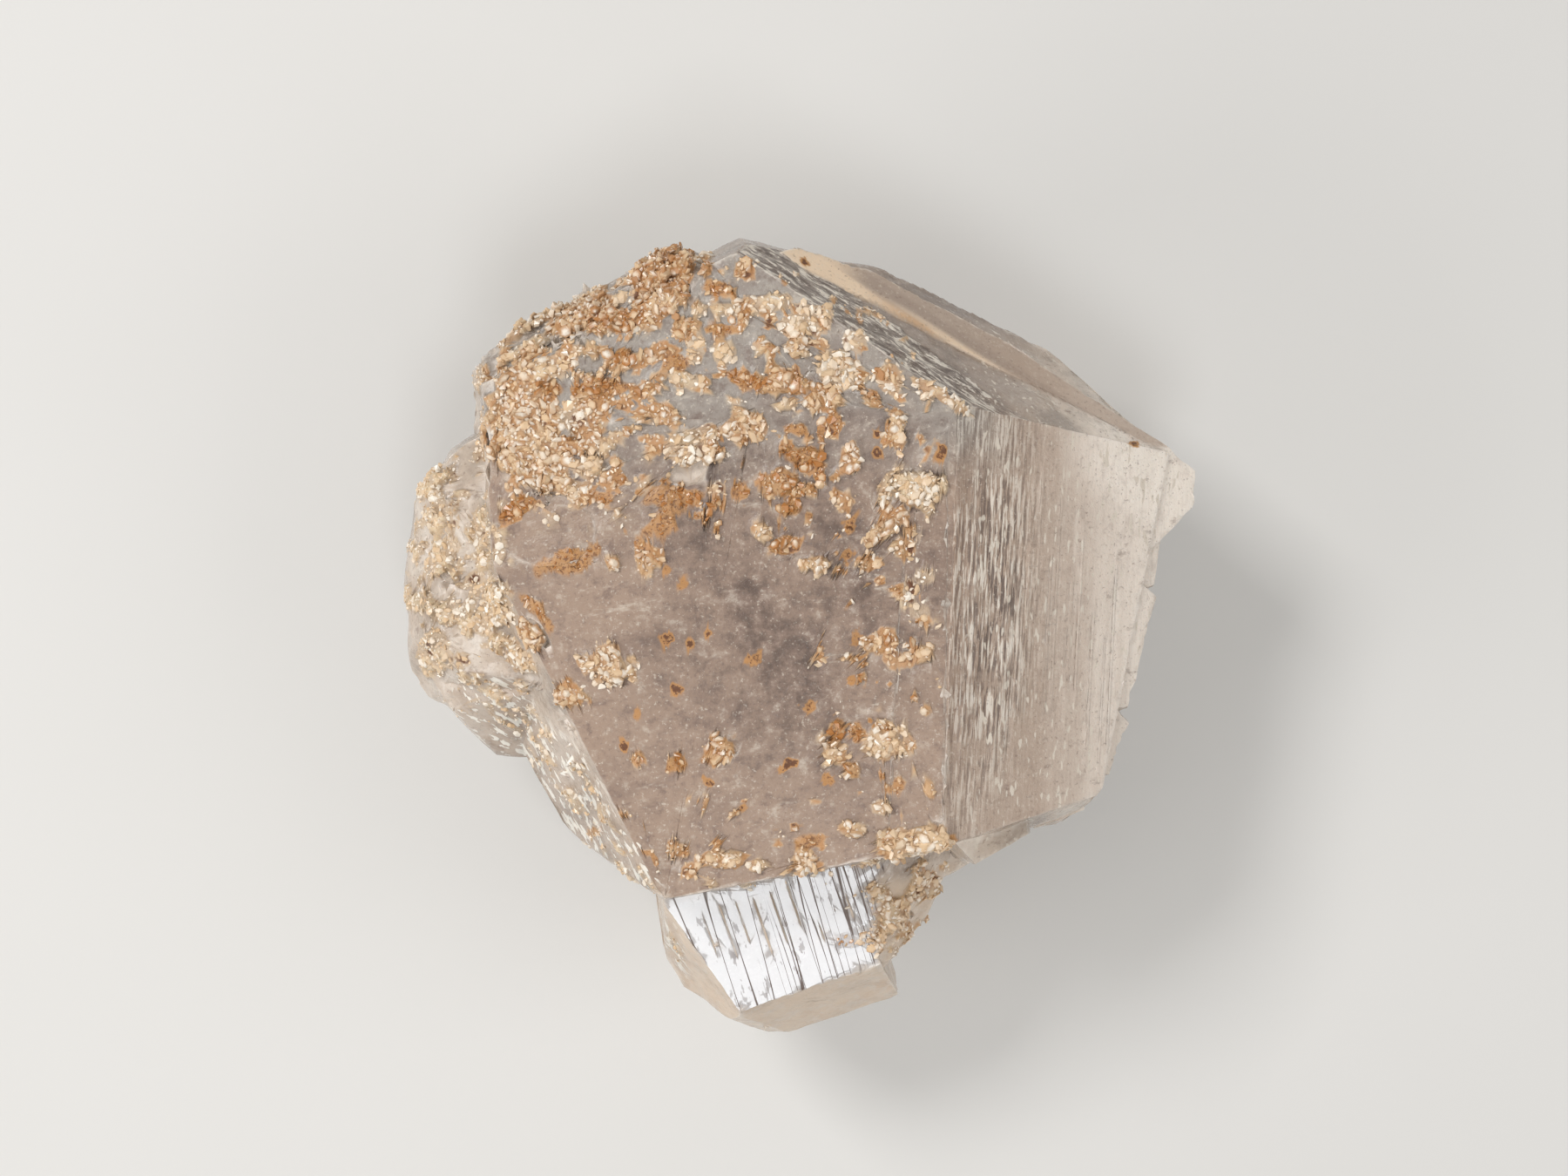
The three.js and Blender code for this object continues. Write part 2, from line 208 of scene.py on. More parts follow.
def ramp(values, start, end):
    """0 before start, 1 after end, and smooth between them."""
    t = np.clip((values - start) / (end - start), 0, 1)
    return t * t * (3 - 2 * t)


def direction(azimuth, tilt):
    """The unit vector at an azimuth and a tilt, in degrees."""
    a, t = math.radians(azimuth), math.radians(tilt)
    return np.array([math.sin(t) * math.cos(a), math.sin(t) * math.sin(a), math.cos(t)])


def along_lines(space, run_azimuth, pitch, length):
    """Space stretched along a direction, so that clouds in it become long lines."""
    beside = space @ direction(run_azimuth + 90, 90) / pitch
    run = space @ direction(run_azimuth, 90) / length
    return np.stack([beside, run, np.zeros(len(space))], 1)


sample = clouds(np.random.default_rng(1).random((1000, 3)) * 50, 3, 1)
print("clouds from", sample.min().round(2), "to", sample.max().round(2))

# %% [markdown]
# ## Where the crust sits
# The crust lies in islands: thick along the rear left rim and the left lobe, scattered towards
# the ridge, thin in front. Each island is an ellipse given in the table below, and clouds fray its
# edge. It is laid down from above, so it follows whatever relief is under it. Its place is given
# as shares of the frame's box, and its size in mm. Loose bits, flat pale flakes on the front left
# flank and small rust spots, most of them on the big face, are placed the same way.

# %% Islands of crust
# Share across, share back, half length, half width, fullness, rust, and a turn in degrees.
crust_places = {
    "rear left rim": [
        (0.34, 0.95, 2.2, 1.7, 1, 0.6), (0.33, 0.91, 1.6, 0.9, 1, 0.4),
        (0.285, 0.885, 1.5, 0.7, 1, 0.7, 10), (0.235, 0.895, 2.3, 0.6, 0.9, 0.5, 28),
        (0.18, 0.86, 1.7, 0.5, 0.8, 0.1, 35), (0.21, 0.835, 3, 0.7, 0.9, 0.3, 28),
        (0.26, 0.9, 3, 0.6, 1, 0.2, 30), (0.315, 0.885, 1.2, 0.6, 0.9, 0.3),
        (0.237, 0.918, 2.3, 0.5, 1, 0.3, 28), (0.175, 0.893, 2.2, 0.5, 0.9, 0.3, 33),
        (0.297, 0.942, 1.6, 0.5, 1, 0.4, 24), (0.37, 0.965, 1.6, 0.4, 0.8, 0.2, 20),
    ],
    "left crust": [
        (0.175, 0.77, 2, 3, 1, 0.4), (0.245, 0.775, 1.7, 1.2, 0.8, 0.2), (0.2, 0.71, 2.3, 1.6, 1, 0.4),
        (0.275, 0.74, 1, 0.6, 0.8, 0.3, 20), (0.17, 0.665, 1.5, 0.5, 0.9, 0.8, 35),
        (0.245, 0.685, 0.8, 0.9, 1, 0.3), (0.26, 0.805, 3, 0.5, 0.5, 0.8),
        (0.315, 0.805, 0.9, 0.5, 0.9, 0.5), (0.34, 0.775, 1.4, 0.6, 0.9, 0.5, -12),
        (0.265, 0.675, 0.9, 0.4, 0.7, 0.7), (0.245, 0.712, 1.2, 0.8, 1, 0.3),
    ],
    "upper field": [
        (0.295, 0.845, 0.6, 0.4, 0.7, 0.9, -35), (0.33, 0.845, 1.2, 0.5, 0.9, 0.5, 30),
        (0.365, 0.875, 0.7, 0.6, 0.9, 0.6), (0.38, 0.855, 0.5, 1, 1, 0.1),
        (0.355, 0.835, 0.6, 0.4, 0.8, 0.8), (0.37, 0.815, 1.1, 0.4, 0.9, 0.1, -10),
        (0.415, 0.845, 0.6, 0.5, 0.9, 0, 15), (0.41, 0.875, 0.8, 0.3, 0.7, 0.8),
        (0.41, 0.92, 1.2, 0.4, 0.8, 0.8, -25), (0.44, 0.945, 0.6, 0.6, 0.8, 0.6, -40),
        (0.425, 0.9, 1.8, 0.5, 0.9, 0.2), (0.475, 0.905, 1, 0.6, 0.8, 0.2),
        (0.46, 0.855, 0.6, 0.4, 0.8, 0.3), (0.44, 0.815, 1.1, 0.4, 0.8, 0.9),
    ],
    "towards the ridge": [
        (0.51, 0.885, 1.4, 1, 1, 0.2), (0.505, 0.855, 1.3, 0.7, 1, 0.4),
        (0.555, 0.825, 1.6, 1.1, 1, 0.15, -25), (0.57, 0.86, 0.9, 0.6, 0.9, 0.2, -30),
        (0.475, 0.81, 2, 0.6, 0.9, 0.6), (0.485, 0.785, 0.7, 0.4, 0.8, 0.3, 20),
        (0.535, 0.79, 1, 0.6, 0.9, 0.5), (0.59, 0.79, 0.5, 0.5, 0.8, 0.6), (0.61, 0.81, 0.6, 1, 0.9, 0.3),
        (0.66, 0.8, 1.9, 0.3, 0.8, 0.3, -32), (0.545, 0.76, 0.5, 0.8, 0.8, 0.8),
        (0.505, 0.755, 0.9, 0.4, 0.7, 0.9), (0.51, 0.725, 0.9, 0.4, 0.7, 0.9),
        (0.565, 0.72, 0.5, 1, 0.9, 0.5), (0.62, 0.76, 0.5, 1.2, 0.9, 0.4),
    ],
    "ridge": [
        (0.64, 0.685, 1.7, 1.4, 1, 0.2), (0.62, 0.655, 0.9, 0.6, 0.8, 0.5),
        (0.56, 0.67, 0.7, 0.5, 0.9, 0.4), (0.6, 0.635, 1, 0.6, 0.9, 0.4, 20),
        (0.625, 0.615, 0.8, 0.6, 0.9, 0.4), (0.585, 0.6, 1, 0.5, 0.8, 0.5),
        (0.52, 0.595, 0.9, 0.5, 0.9, 0.4), (0.49, 0.62, 1.1, 0.5, 0.8, 0.7, 10),
        (0.46, 0.635, 0.6, 0.6, 0.8, 0.4), (0.63, 0.565, 0.5, 0.7, 0.9, 0),
        (0.65, 0.58, 0.6, 0.4, 0.5, 0.1), (0.645, 0.54, 0.7, 0.5, 0.4, 0.1),
    ],
    "middle": [
        (0.44, 0.76, 1.7, 0.9, 0.9, 0.4, 5), (0.385, 0.735, 1.7, 1.4, 1, 0.25),
        (0.36, 0.675, 1.6, 0.6, 0.4, 0.95, 8), (0.34, 0.65, 1.8, 0.6, 0.4, 0.95, 32),
        (0.405, 0.685, 0.7, 0.6, 0.9, 0.3), (0.435, 0.68, 0.8, 0.5, 0.6, 0.9),
        (0.475, 0.69, 1.4, 0.9, 0.8, 0.7), (0.49, 0.665, 0.7, 0.5, 0.7, 0.9),
        (0.23, 0.6, 1.7, 0.6, 0.3, 1, 14), (0.28, 0.6, 0.5, 0.7, 0.9, 0.5),
        (0.325, 0.605, 0.8, 1, 0.8, 0.5), (0.19, 0.54, 1.2, 0.4, 0.4, 0.8, -45),
        (0.179, 0.516, 1, 0.5, 0.9, 0.5, -55), (0.275, 0.475, 1.4, 1.2, 1, 0.35, 20),
        (0.235, 0.44, 1.2, 0.9, 0.9, 0.5),
    ],
    "front": [
        (0.41, 0.375, 0.9, 0.9, 0.9, 0.6), (0.355, 0.36, 0.5, 0.5, 0.7, 0.8),
        (0.31, 0.365, 0.6, 0.4, 0.6, 0.7), (0.355, 0.26, 0.8, 0.4, 0.8, 0.5, -20),
        (0.37, 0.23, 0.7, 0.5, 0.9, 0.5, 15), (0.41, 0.25, 1.2, 0.7, 0.9, 0.4),
        (0.455, 0.24, 0.5, 0.4, 0.8, 0.3), (0.4, 0.22, 0.5, 0.3, 0.8, 0.2),
        (0.44, 0.21, 0.4, 0.3, 0.9, 0.1), (0.51, 0.245, 0.6, 0.7, 0.9, 0.4),
        (0.515, 0.27, 0.6, 0.3, 0.5, 0.9),
    ],
    "front right": [
        (0.595, 0.505, 1.3, 0.8, 0.9, 0.45), (0.615, 0.485, 1.1, 0.6, 0.8, 0.4),
        (0.65, 0.49, 0.6, 0.5, 0.6, 0.4), (0.545, 0.4, 0.5, 0.6, 0.7, 0.9),
        (0.545, 0.375, 0.8, 0.8, 1, 0.4), (0.565, 0.355, 0.5, 0.5, 0.8, 0.7),
        (0.605, 0.395, 1.6, 1.3, 0.9, 0.3, 15), (0.57, 0.4, 0.4, 0.8, 0.6, 0.9),
        (0.62, 0.34, 0.4, 0.8, 0.5, 0.7), (0.6, 0.31, 0.6, 0.4, 0.9, 0.3),
        (0.655, 0.33, 0.4, 0.7, 0.5, 0.5), (0.565, 0.285, 0.9, 0.5, 0.9, 0.4),
        (0.64, 0.265, 1.9, 1.1, 1, 0.3), (0.585, 0.235, 1.2, 0.5, 0.8, 0.4, 10),
    ],
    "left lobe": [
        (0.065, 0.68, 1.6, 2.6, 1, 0.12, -8), (0.06, 0.58, 1.9, 2.8, 1, 0.15),
        (0.11, 0.66, 0.9, 3.6, 1, 0.15, 5), (0.105, 0.55, 1.5, 2, 1, 0.15),
        (0.05, 0.49, 1.3, 1.6, 0.9, 0.12, 10), (0.13, 0.54, 1.2, 1.4, 1, 0.2),
        (0.155, 0.49, 2.2, 0.8, 1, 0.25, -50), (0.165, 0.445, 0.4, 0.9, 0.8, 0.15, 10),
    ],
    "left front band": [
        (0.145, 0.41, 3, 1.2, 0.5, 0.05, -45), (0.215, 0.34, 4, 1.3, 0.5, 0.05, -48),
        (0.29, 0.25, 3.4, 1.2, 0.5, 0.05, -50),
    ],
    "small crystal": [
        (0.655, 0.205, 1, 0.9, 0.9, 0.3), (0.625, 0.165, 1.1, 1, 0.9, 0.3, -20),
        (0.595, 0.14, 0.8, 0.8, 0.8, 0.4, -20), (0.565, 0.135, 0.6, 0.5, 0.8, 0.6),
        (0.597, 0.195, 0.9, 0.6, 0.9, 0.3), (0.35, 0.12, 0.4, 1, 0.4, 0.05, 20),
    ],
}
print(sum(len(group) for group in crust_places.values()), "islands of crust")

# %% Strokes, flakes, loose bits and rust spots
# Where the crust grew in strokes: the azimuth they run, how wide and how long they are in mm,
# and how high the clouds must stand for a stroke.
strokes = {"left lobe": (62, 0.6, 1.9, 0.38), "left front band": (134, 0.32, 1.4, 0.5)}

# Where pale flakes lie: share across, share back, half length, half width, turn.
flake_places = [
    (0.125, 0.41, 3.6, 2.8, -45), (0.2, 0.33, 5.2, 3.2, -48), (0.275, 0.245, 4.4, 2.7, -50),
    (0.335, 0.12, 1.5, 3, 15),
]

# Loose bits between the islands: share across, share back, half length, half width, turn,
# how high the clouds must stand for a bit to lie there, rust.
scatter_places = [
    (0.23, 0.78, 7, 7, 20, 0.54, 0.5), (0.42, 0.87, 9, 4.5, 0, 0.64, 0.6),
    (0.58, 0.74, 4.5, 9, 0, 0.67, 0.6), (0.42, 0.69, 8.5, 3.5, 0, 0.66, 0.8),
    (0.59, 0.48, 4, 10, 0, 0.7, 0.7), (0.45, 0.27, 12, 3, 0, 0.7, 0.6),
    (0.08, 0.58, 4.5, 8.5, 0, 0.6, 0.15), (0.63, 0.19, 3.5, 4, 0, 0.58, 0.4),
]

# Small rust spots with no crust of their own: share across, share back.
rust_spots = [
    (0.345, 0.51), (0.375, 0.505), (0.395, 0.515), (0.365, 0.575), (0.45, 0.487), (0.355, 0.45),
    (0.31, 0.42), (0.295, 0.38), (0.49, 0.36), (0.395, 0.34), (0.435, 0.31), (0.515, 0.43),
    (0.565, 0.46), (0.575, 0.51), (0.56, 0.605), (0.565, 0.645), (0.595, 0.75), (0.595, 0.73),
    (0.67, 0.73), (0.51, 0.96), (0.535, 0.34), (0.345, 0.59), (0.915, 0.745), (0.68, 0.275),
]
spot_sizes = np.random.default_rng(6).uniform(0.26, 0.46, len(rust_spots))
spot_strengths = np.random.default_rng(7).uniform(0.5, 1, len(rust_spots))
print(len(scatter_places), "scatters of loose bits and", len(rust_spots), "rust spots")

# %% How thick the crust lies
# There is no crust below the first height, in mm, and it is full from the second.
NO_CRUST, FULL_CRUST = 6, 10


def ellipse(space, across, back, half_length, half_width, turn=0):
    """How far out each point lies from an island's middle, as seen from above: 1 on its edge."""
    x = space[:, 0] - (low.x + across * size.x) / MM
    y = space[:, 1] - (low.y + back * size.y) / MM
    a = math.radians(turn)
    along = (x * math.cos(a) + y * math.sin(a)) / half_length
    beside = (y * math.cos(a) - x * math.sin(a)) / half_width
    return np.hypot(along, beside)


def spot_share(space):
    """How much each point belongs to a rust spot with a frayed edge."""
    share = np.zeros(len(space))
    fray = rough_clouds(space * (1, 1, 0), 0.45, 45)
    for (across, back), size_here, strength in zip(rust_spots, spot_sizes, spot_strengths):
        out = ellipse(space, across, back, size_here, size_here)
        share = np.maximum(share, strength - strength * ramp(out + 2.4 * (fray - 0.5), 0.4, 1.4))
    return share


def flake_share(space):
    """How much each point belongs to the places where flakes lie."""
    return np.max([1 - ramp(ellipse(space, *place), 0.75, 1.1) for place in flake_places], axis=0)


def crust_and_rust(space):
    """How thick the crust lies at each point, and how rusty it is there, both from 0 to 1."""
    from_above = space * (1, 1, 0)
    fray = rough_clouds(from_above, 0.9, 40)
    bits = rough_clouds(from_above, 0.8, 60)
    crust = np.zeros(len(space))
    rust = np.zeros(len(space))
    for *place, height, rustiness in scatter_places:
        inside = 1 - ramp(ellipse(space, *place), 0.7, 1.2)
        lies = inside * ramp(bits, height, height + 0.06)
        crust = np.maximum(crust, 0.8 * lies)
        rust = np.maximum(rust, inside * rustiness * ramp(bits, height - 0.03, height + 0.03))
    for group, islands in crust_places.items():
        stroke = 1
        if group in strokes:
            run, width, length, start = strokes[group]
            lines = rough_clouds(along_lines(space, run, width, length), 1, 70)
            stroke = ramp(lines, start, start + 0.07)
        for across, back, half_length, half_width, fullness, rustiness, *turn in islands:
            out = ellipse(space, across, back, half_length, half_width, *turn)
            inside = 1 - ramp(out + 1.4 * (fray - 0.5), 0.8, 1.15)
            halo = 1 - ramp(out + 1.9 * (fray - 0.5), 0.9, 1.5)
            crust = np.maximum(crust, inside * fullness * stroke)
            rust = np.maximum(rust, halo * rustiness)
    upper = ramp(space[:, 2], NO_CRUST, FULL_CRUST)
    return crust * upper, rust * upper


print("crust and rust in the middle:", *crust_and_rust(np.array([[0, 0, 25]])))

# %% [markdown]
# ## A finer skin for the solid
# The solid has large flat triangles, and relief needs small ones. A voxel remesh would round the
# crystal's edges, so each triangle is cut at its longest edge again and again until it is short
# enough. A neighbour is cut along with it, so the skin stays closed. The crust, the spots and the
# dark band get the finest triangles, the underside the coarsest. Where crust and spots lie is
# asked over and over, so it is worked out once on a fine grid seen from above, and looked up.

# %% Where the skin is finer
BAND_AZIMUTH = 149
BAND_OUTWARD = direction(BAND_AZIMUTH - 90, 90)
PRISM_LEFT = 9
GRID = 0.15
HEIGHTS = [0, 8, 15, 21, 30]
EDGES_AT_HEIGHTS = [2.6, 2, 1.3, 0.9, 0.9]
PRISM_EDGE = 0.62
BAND_EDGE = 0.45
CRUST_EDGE = 0.48
SPOT_EDGE = 0.2

corner = np.array([low.x, low.y]) / MM
across_grid, back_grid = np.meshgrid(np.arange(corner[0], high.x / MM, GRID),
                                     np.arange(corner[1], high.y / MM, GRID), indexing="ij")
grid = np.stack([across_grid.ravel(), back_grid.ravel(), np.full(across_grid.size, 25)], 1)
crust_grid, rust_grid = crust_and_rust(grid)
crusted_grid = ((crust_grid > 0.03) | (rust_grid > 0.3)).reshape(across_grid.shape)
spots_grid = spot_share(grid).reshape(across_grid.shape) > 0.05


def looked_up(table, middles):
    """The table's value at the place on the grid that lies under each point."""
    cells = ((middles[:, :2] - corner) / GRID).astype(int)
    across, back = np.clip(cells, 0, np.array(table.shape) - 1).T
    return table[across, back]


def edge_limit(middles):
    """How long an edge may be, in mm, where it lies: short in the crust, long underneath."""
    up = middles[:, 2]
    limit = np.interp(up, HEIGHTS, EDGES_AT_HEIGHTS)
    limit = np.where((middles[:, 0] > PRISM_LEFT) & (up > 20), PRISM_EDGE, limit)
    outward = middles @ BAND_OUTWARD
    on_band = (outward > 18) & (outward < 24.6) & (middles[:, 0] < 14) & (up > 18)
    limit = np.where(on_band, BAND_EDGE, limit)
    limit = np.where(looked_up(crusted_grid, middles) & (up > 7), CRUST_EDGE, limit)
    return np.where(looked_up(spots_grid, middles) & (up > 18), SPOT_EDGE, limit)


print("crust or rust on", crusted_grid.mean().round(2), "of the box, as seen from above")

# %% Cut long edges in two
def cut_long_edges(points, faces):
    """One pass of cuts. Where a triangle is cut at all, its longest edge is cut."""
    sides = np.sort(faces[:, [0, 1, 1, 2, 2, 0]].reshape(-1, 2), axis=1)
    edges, side_edge = np.unique(sides[:, 0] * len(points) + sides[:, 1], return_inverse=True)
    side_edge = side_edge.reshape(-1, 3)
    ends = points[np.stack([edges // len(points), edges % len(points)], 1)]
    length = np.linalg.norm(ends[:, 0] - ends[:, 1], axis=1)
    middles = ends.mean(axis=1)
    cut = length > edge_limit(middles)
    longest = length[side_edge].argmax(axis=1)
    longest_edge = side_edge[np.arange(len(faces)), longest]
    while True:
        wanted = longest_edge[cut[side_edge].any(axis=1)]
        if cut[wanted].all():
            break
        cut[wanted] = True
    middle = np.full(len(edges), -1)
    middle[cut] = len(points) + np.arange(cut.sum())
    points = np.vstack([points, middles[cut]])
    turn = (longest[:, None] + np.arange(3)) % 3
    a, b, c = np.take_along_axis(faces, turn, 1).T
    ab, bc, ca = middle[np.take_along_axis(side_edge, turn, 1)].T
    whole = ab < 0
    near = ~whole & (ca < 0)
    near_cut = ~whole & (ca >= 0)
    far = ~whole & (bc < 0)
    far_cut = ~whole & (bc >= 0)
    cases = [((a, b, c), whole), ((a, ab, c), near), ((a, ab, ca), near_cut), ((ca, ab, c), near_cut),
             ((ab, b, c), far), ((ab, b, bc), far_cut), ((ab, bc, c), far_cut)]
    made = [np.stack(corners, 1)[these] for corners, these in cases]
    return points, np.vstack(made), cut.sum()


def merged_copy(node):
    """The points, in mm, and the triangles of a frame node, with its loose triangles joined."""
    mesh = frame["nodes"][node].data
    mesh.calc_loop_triangles()
    points = np.array([v.co for v in mesh.vertices]) / MM
    faces = np.array([t.vertices for t in mesh.loop_triangles])
    _, first, same = np.unique(np.round(points, 3), axis=0, return_index=True, return_inverse=True)
    faces = same.reshape(-1)[faces]
    whole = (faces != np.roll(faces, 1, axis=1)).all(axis=1)
    return points[first], faces[whole]


points, faces = merged_copy("quartz_crystal")
cuts = 1
while cuts:
    points, faces, cuts = cut_long_edges(points, faces)
print(len(points), "points and", len(faces), "triangles")

# %% [markdown]
# ## Quieter growth steps
# The solid shows the growth steps and striations bolder than they are, so that they survive as
# solid form. Here the points that stand above a crystal face are let down almost onto it, along
# the face's own direction, given as azimuth from +X and tilt from +Z. The fine lines come back
# later as low relief and bump.

# %% Measure the triangles
LEVEL = 0.02
TINY = 1e-12


def measured_faces():
    """The direction of each triangle, and twice its area."""
    corners = points[faces]
    across_face = np.cross(corners[:, 1] - corners[:, 0], corners[:, 2] - corners[:, 0])
    area = np.linalg.norm(across_face, axis=1)
    return across_face / np.maximum(area, TINY)[:, None], area


def above_face(normal):
    """How far each point stands above the largest plane that looks along normal, in mm."""
    height = points @ normal
    on_plane = face_normal @ normal > math.cos(math.radians(1))
    level = np.round(height[faces[on_plane, 0]] / LEVEL).astype(int)
    lowest = level.min()
    return height - (np.bincount(level - lowest, face_area[on_plane]).argmax() + lowest) * LEVEL


BIG = direction(184, 6)
PRISM = direction(357, 32)
BAND = direction(58, 59)
SHOULDER = direction(55, 48)
BRIGHT = direction(288, 6)
BEVEL = direction(289, 58)
face_normal, face_area = measured_faces()
print("skin of", round(face_area.sum() / 200, 1), "square cm")

# %% Let the steps down
SMALL_END = -14
TOP = 18
LOWER_SIDES = 12
TALLEST_STEP = 1.3

upper = points[:, 2] > TOP
small_crystal = upper & (points[:, 1] < SMALL_END)
foot_end = (points[:, 2] > LOWER_SIDES) & (points[:, 1] < SMALL_END)
steps_on = ((BIG, upper, 0.04), (PRISM, upper, 0.06), (BEVEL, foot_end, 0.04),
            (BRIGHT, small_crystal, 0.04))
for looks, where, kept in steps_on:
    lift = above_face(looks)
    standing = (lift > 0.01) & (lift < TALLEST_STEP) & where
    points[standing] -= looks * (lift[standing] * (1 - kept))[:, None]
    print(standing.sum(), "points let down onto a face")

# The small crystal's bright face runs on over the shallow hollow on its right.
near_hollow = ellipse(points, 0.545, 0.17, 3, 2.8) < 1
hollow = small_crystal & near_hollow & (lift < -0.01) & (lift > -0.9)
points[hollow] -= BRIGHT * lift[hollow][:, None]
print(hollow.sum(), "points levelled on the bright face")

# %% [markdown]
# ## Which face is which
# Relief differs from face to face: the prism face is striated, the sides are broken. A point
# belongs to a crystal face as far as the triangles round it look that face's way. The solid's
# stout grains on the broken rim stand in for the crust, so here they are smoothed to a lumpy
# ground, each point drawn to the mean of its neighbours, before the fine grains grow on them.

# %% Face shares
def spread_to_points(face_values):
    """The mean of the faces round each point, by their area."""
    total = np.zeros((len(points), face_values.shape[1]))
    weight = np.zeros(len(points))
    for i in range(3):
        np.add.at(total, faces[:, i], face_values * face_area[:, None])
        np.add.at(weight, faces[:, i], face_area)
    return total / np.maximum(weight, TINY)[:, None]


def share_of(normal, within):
    """How much of each point belongs to faces that look along normal, within some degrees."""
    looks = (face_normal @ normal > math.cos(math.radians(within))).astype(float)
    return spread_to_points(looks[:, None])[:, 0]


face_normal, face_area = measured_faces()
big_face = share_of(BIG, 4)
prism_face = share_of(PRISM, 12) * (points[:, 0] > 8)
near_top = points[:, 2] > 17
on_inner_band = points @ direction(53.4, 90) < 19.9
band_face = share_of(BAND, 8) * near_top * on_inner_band
bright_face = share_of(BRIGHT, 3.5) * small_crystal
shoulder = share_of(SHOULDER, 6) * near_top
broken = np.clip(1 - big_face - prism_face - band_face - bright_face - shoulder, 0, 1)
print("big face:", big_face.mean().round(2), "broken:", broken.mean().round(2))

# %% Smooth the stout grains
SMOOTHING = 0.7
ROUNDS = 4

crusted, _ = crust_and_rust(points)
rounded = (SMOOTHING * np.clip(crusted * 3, 0, 1) * broken * (points[:, 2] > LOWER_SIDES))[:, None]
for _ in range(ROUNDS):
    around = np.zeros((len(points), 3))
    count = np.zeros(len(points))
    for i, j in ((0, 1), (1, 2), (2, 0), (1, 0), (2, 1), (0, 2)):
        np.add.at(around, faces[:, i], points[faces[:, j]])
        np.add.at(count, faces[:, i], 1)
    points = points + rounded * (around / count[:, None] - points)
face_normal, face_area = measured_faces()

normals = spread_to_points(face_normal)
flatness = np.linalg.norm(normals, axis=1)
normals /= np.maximum(flatness, TINY)[:, None]
edge = np.clip((1 - flatness) * 12, 0, 1)
edge_share = edge * np.clip(broken * 2, 0, 1)
print("edges on", edge.mean().round(3), "of the points")

# %% [markdown]
# ## Relief
# Each face gets the relief that its growth or its breaking left: low waves and streaks on the big
# face, striations across the prism face, steps along the dark band, shell-like breaks on the
# sides, chipped edges, and a lumpy ground under the crust. It is all one push of each point along
# its normal, of a few tenths of a millimetre.

# %% Push the points
STRIATION_AZIMUTH = 267
striations = clouds(along_lines(points, STRIATION_AZIMUTH, 0.5, 6), 1, 3)
past_lines = points[:, 0] - np.interp(points[:, 1], [-11, -3, 9], [9.6, 13, 13.5])
near_ridge = ramp(points[:, 0], 8.2, 9.4) * (1 - 0.85 * ramp(past_lines, 0, 3))
band_lines = rough_clouds(along_lines(points, BAND_AZIMUTH, 0.7, 2.6), 1, 5)
growth_streaks = rough_clouds(along_lines(points, 4, 1.4, 5), 1, 7)
shells = np.abs(rough_clouds(points, 5, 9) - 0.5) * 2
crust, rust = crust_and_rust(points)
seen_from_above = ramp(normals[:, 2], -0.1, 0.25)
crust *= seen_from_above
rust *= seen_from_above
spot = spot_share(points) * ramp(points[:, 2], 17, 18)
flaked = flake_share(points) * seen_from_above
lumps = rough_clouds(points, 1, 15)
ridge = np.clip(4 * big_face * prism_face, 0, 1)

push = big_face * (0.1 * (rough_clouds(points, 5, 11) - 0.5) + 0.1 * (growth_streaks - 0.5))
push += prism_face * (striations - 0.5) * (0.02 + 0.1 * near_ridge)
push += band_face * 0.5 * (band_lines - 0.5)
push -= 0.16 * ridge * rough_clouds(points, 1.8, 23)
push += broken * (0.45 * (shells - 0.4) + 0.12 * (rough_clouds(points, 1.2, 13) - 0.5))
push += np.clip(crust - 0.12, 0, 1) * (0.05 + 0.55 * ramp(lumps, 0.3, 0.75))
push -= edge_share * 0.22 * ramp(rough_clouds(points, 1.6, 17), 0.35, 0.75) * (1 - crust)
push *= ramp(points[:, 2], 0, 0.8) * (1 - 0.9 * bright_face)
points = points + normals * push[:, None]
print("pushed by", push.min().round(2), "to", push.max().round(2), "mm")

# %% [markdown]
# ## Clear and cloudy places
# Most of the stone is milky, but some windows are clear enough to look dark. They follow clouds
# in the big face and lie mostly in its middle, and the band is partly clear. Their dark colour is
# also painted: painted shade on the windows for the dark seen through clear quartz, and a painted
# dark reflection on the band. Every share is kept on the points as an attribute, so the material
# can mix clear quartz with milky quartz by it, and colour each face in its own way.

# %% Attributes for the finishes
SHARP_FROM = 32

outward = points @ BAND_OUTWARD
outward = ramp(outward, *np.percentile(outward[shoulder > 0.9], (2, 98)))
windows = ramp(rough_clouds(points, 3.4, 21), 0.44, 0.66)
middle_of_face = 1 - ramp(ellipse(points, 0.51, 0.6, 10, 12.5), 0.4, 1.4)
behind = 1 - ramp(ellipse(points, 0.4, 0.7, 6, 3.6, 10), 0.4, 1.4)
middle_of_face = np.maximum(middle_of_face, behind)
# The window share also paints the windows and the band dark: painted shade for the dark seen through clear
# quartz, and a painted dark reflection on the band.
window = np.clip(big_face * middle_of_face * (0.45 + 0.55 * windows) + 0.4 * band_face, 0, 1)
window *= 1 - 0.8 * crust
darkest = 1 - ramp(ellipse(points, 0.735, 0.54, 2.8, 11), 0.3, 1.3)
striated = prism_face * near_ridge * (0.45 + 0.55 * darkest)
# Beyond 11 mm across, the band's bump and its painted dark reflection fade out.
band_face *= 1 - ramp(points[:, 0], 11, 16)
# Past its striations the prism face is paler: partly its own tone, and partly painted light for light
# falling from the right.
pale = ramp(past_lines, -4, 1.5) * (points[:, 0] > 9)
# Painted highlight along the edges, but not on the ridge.
painted_edge_highlight = edge * (1 - ridge)
grain_size = (0.55 + 0.45 * crust) * (0.72 + 0.28 * ramp(points[:, 0], -20.5, -18.5))

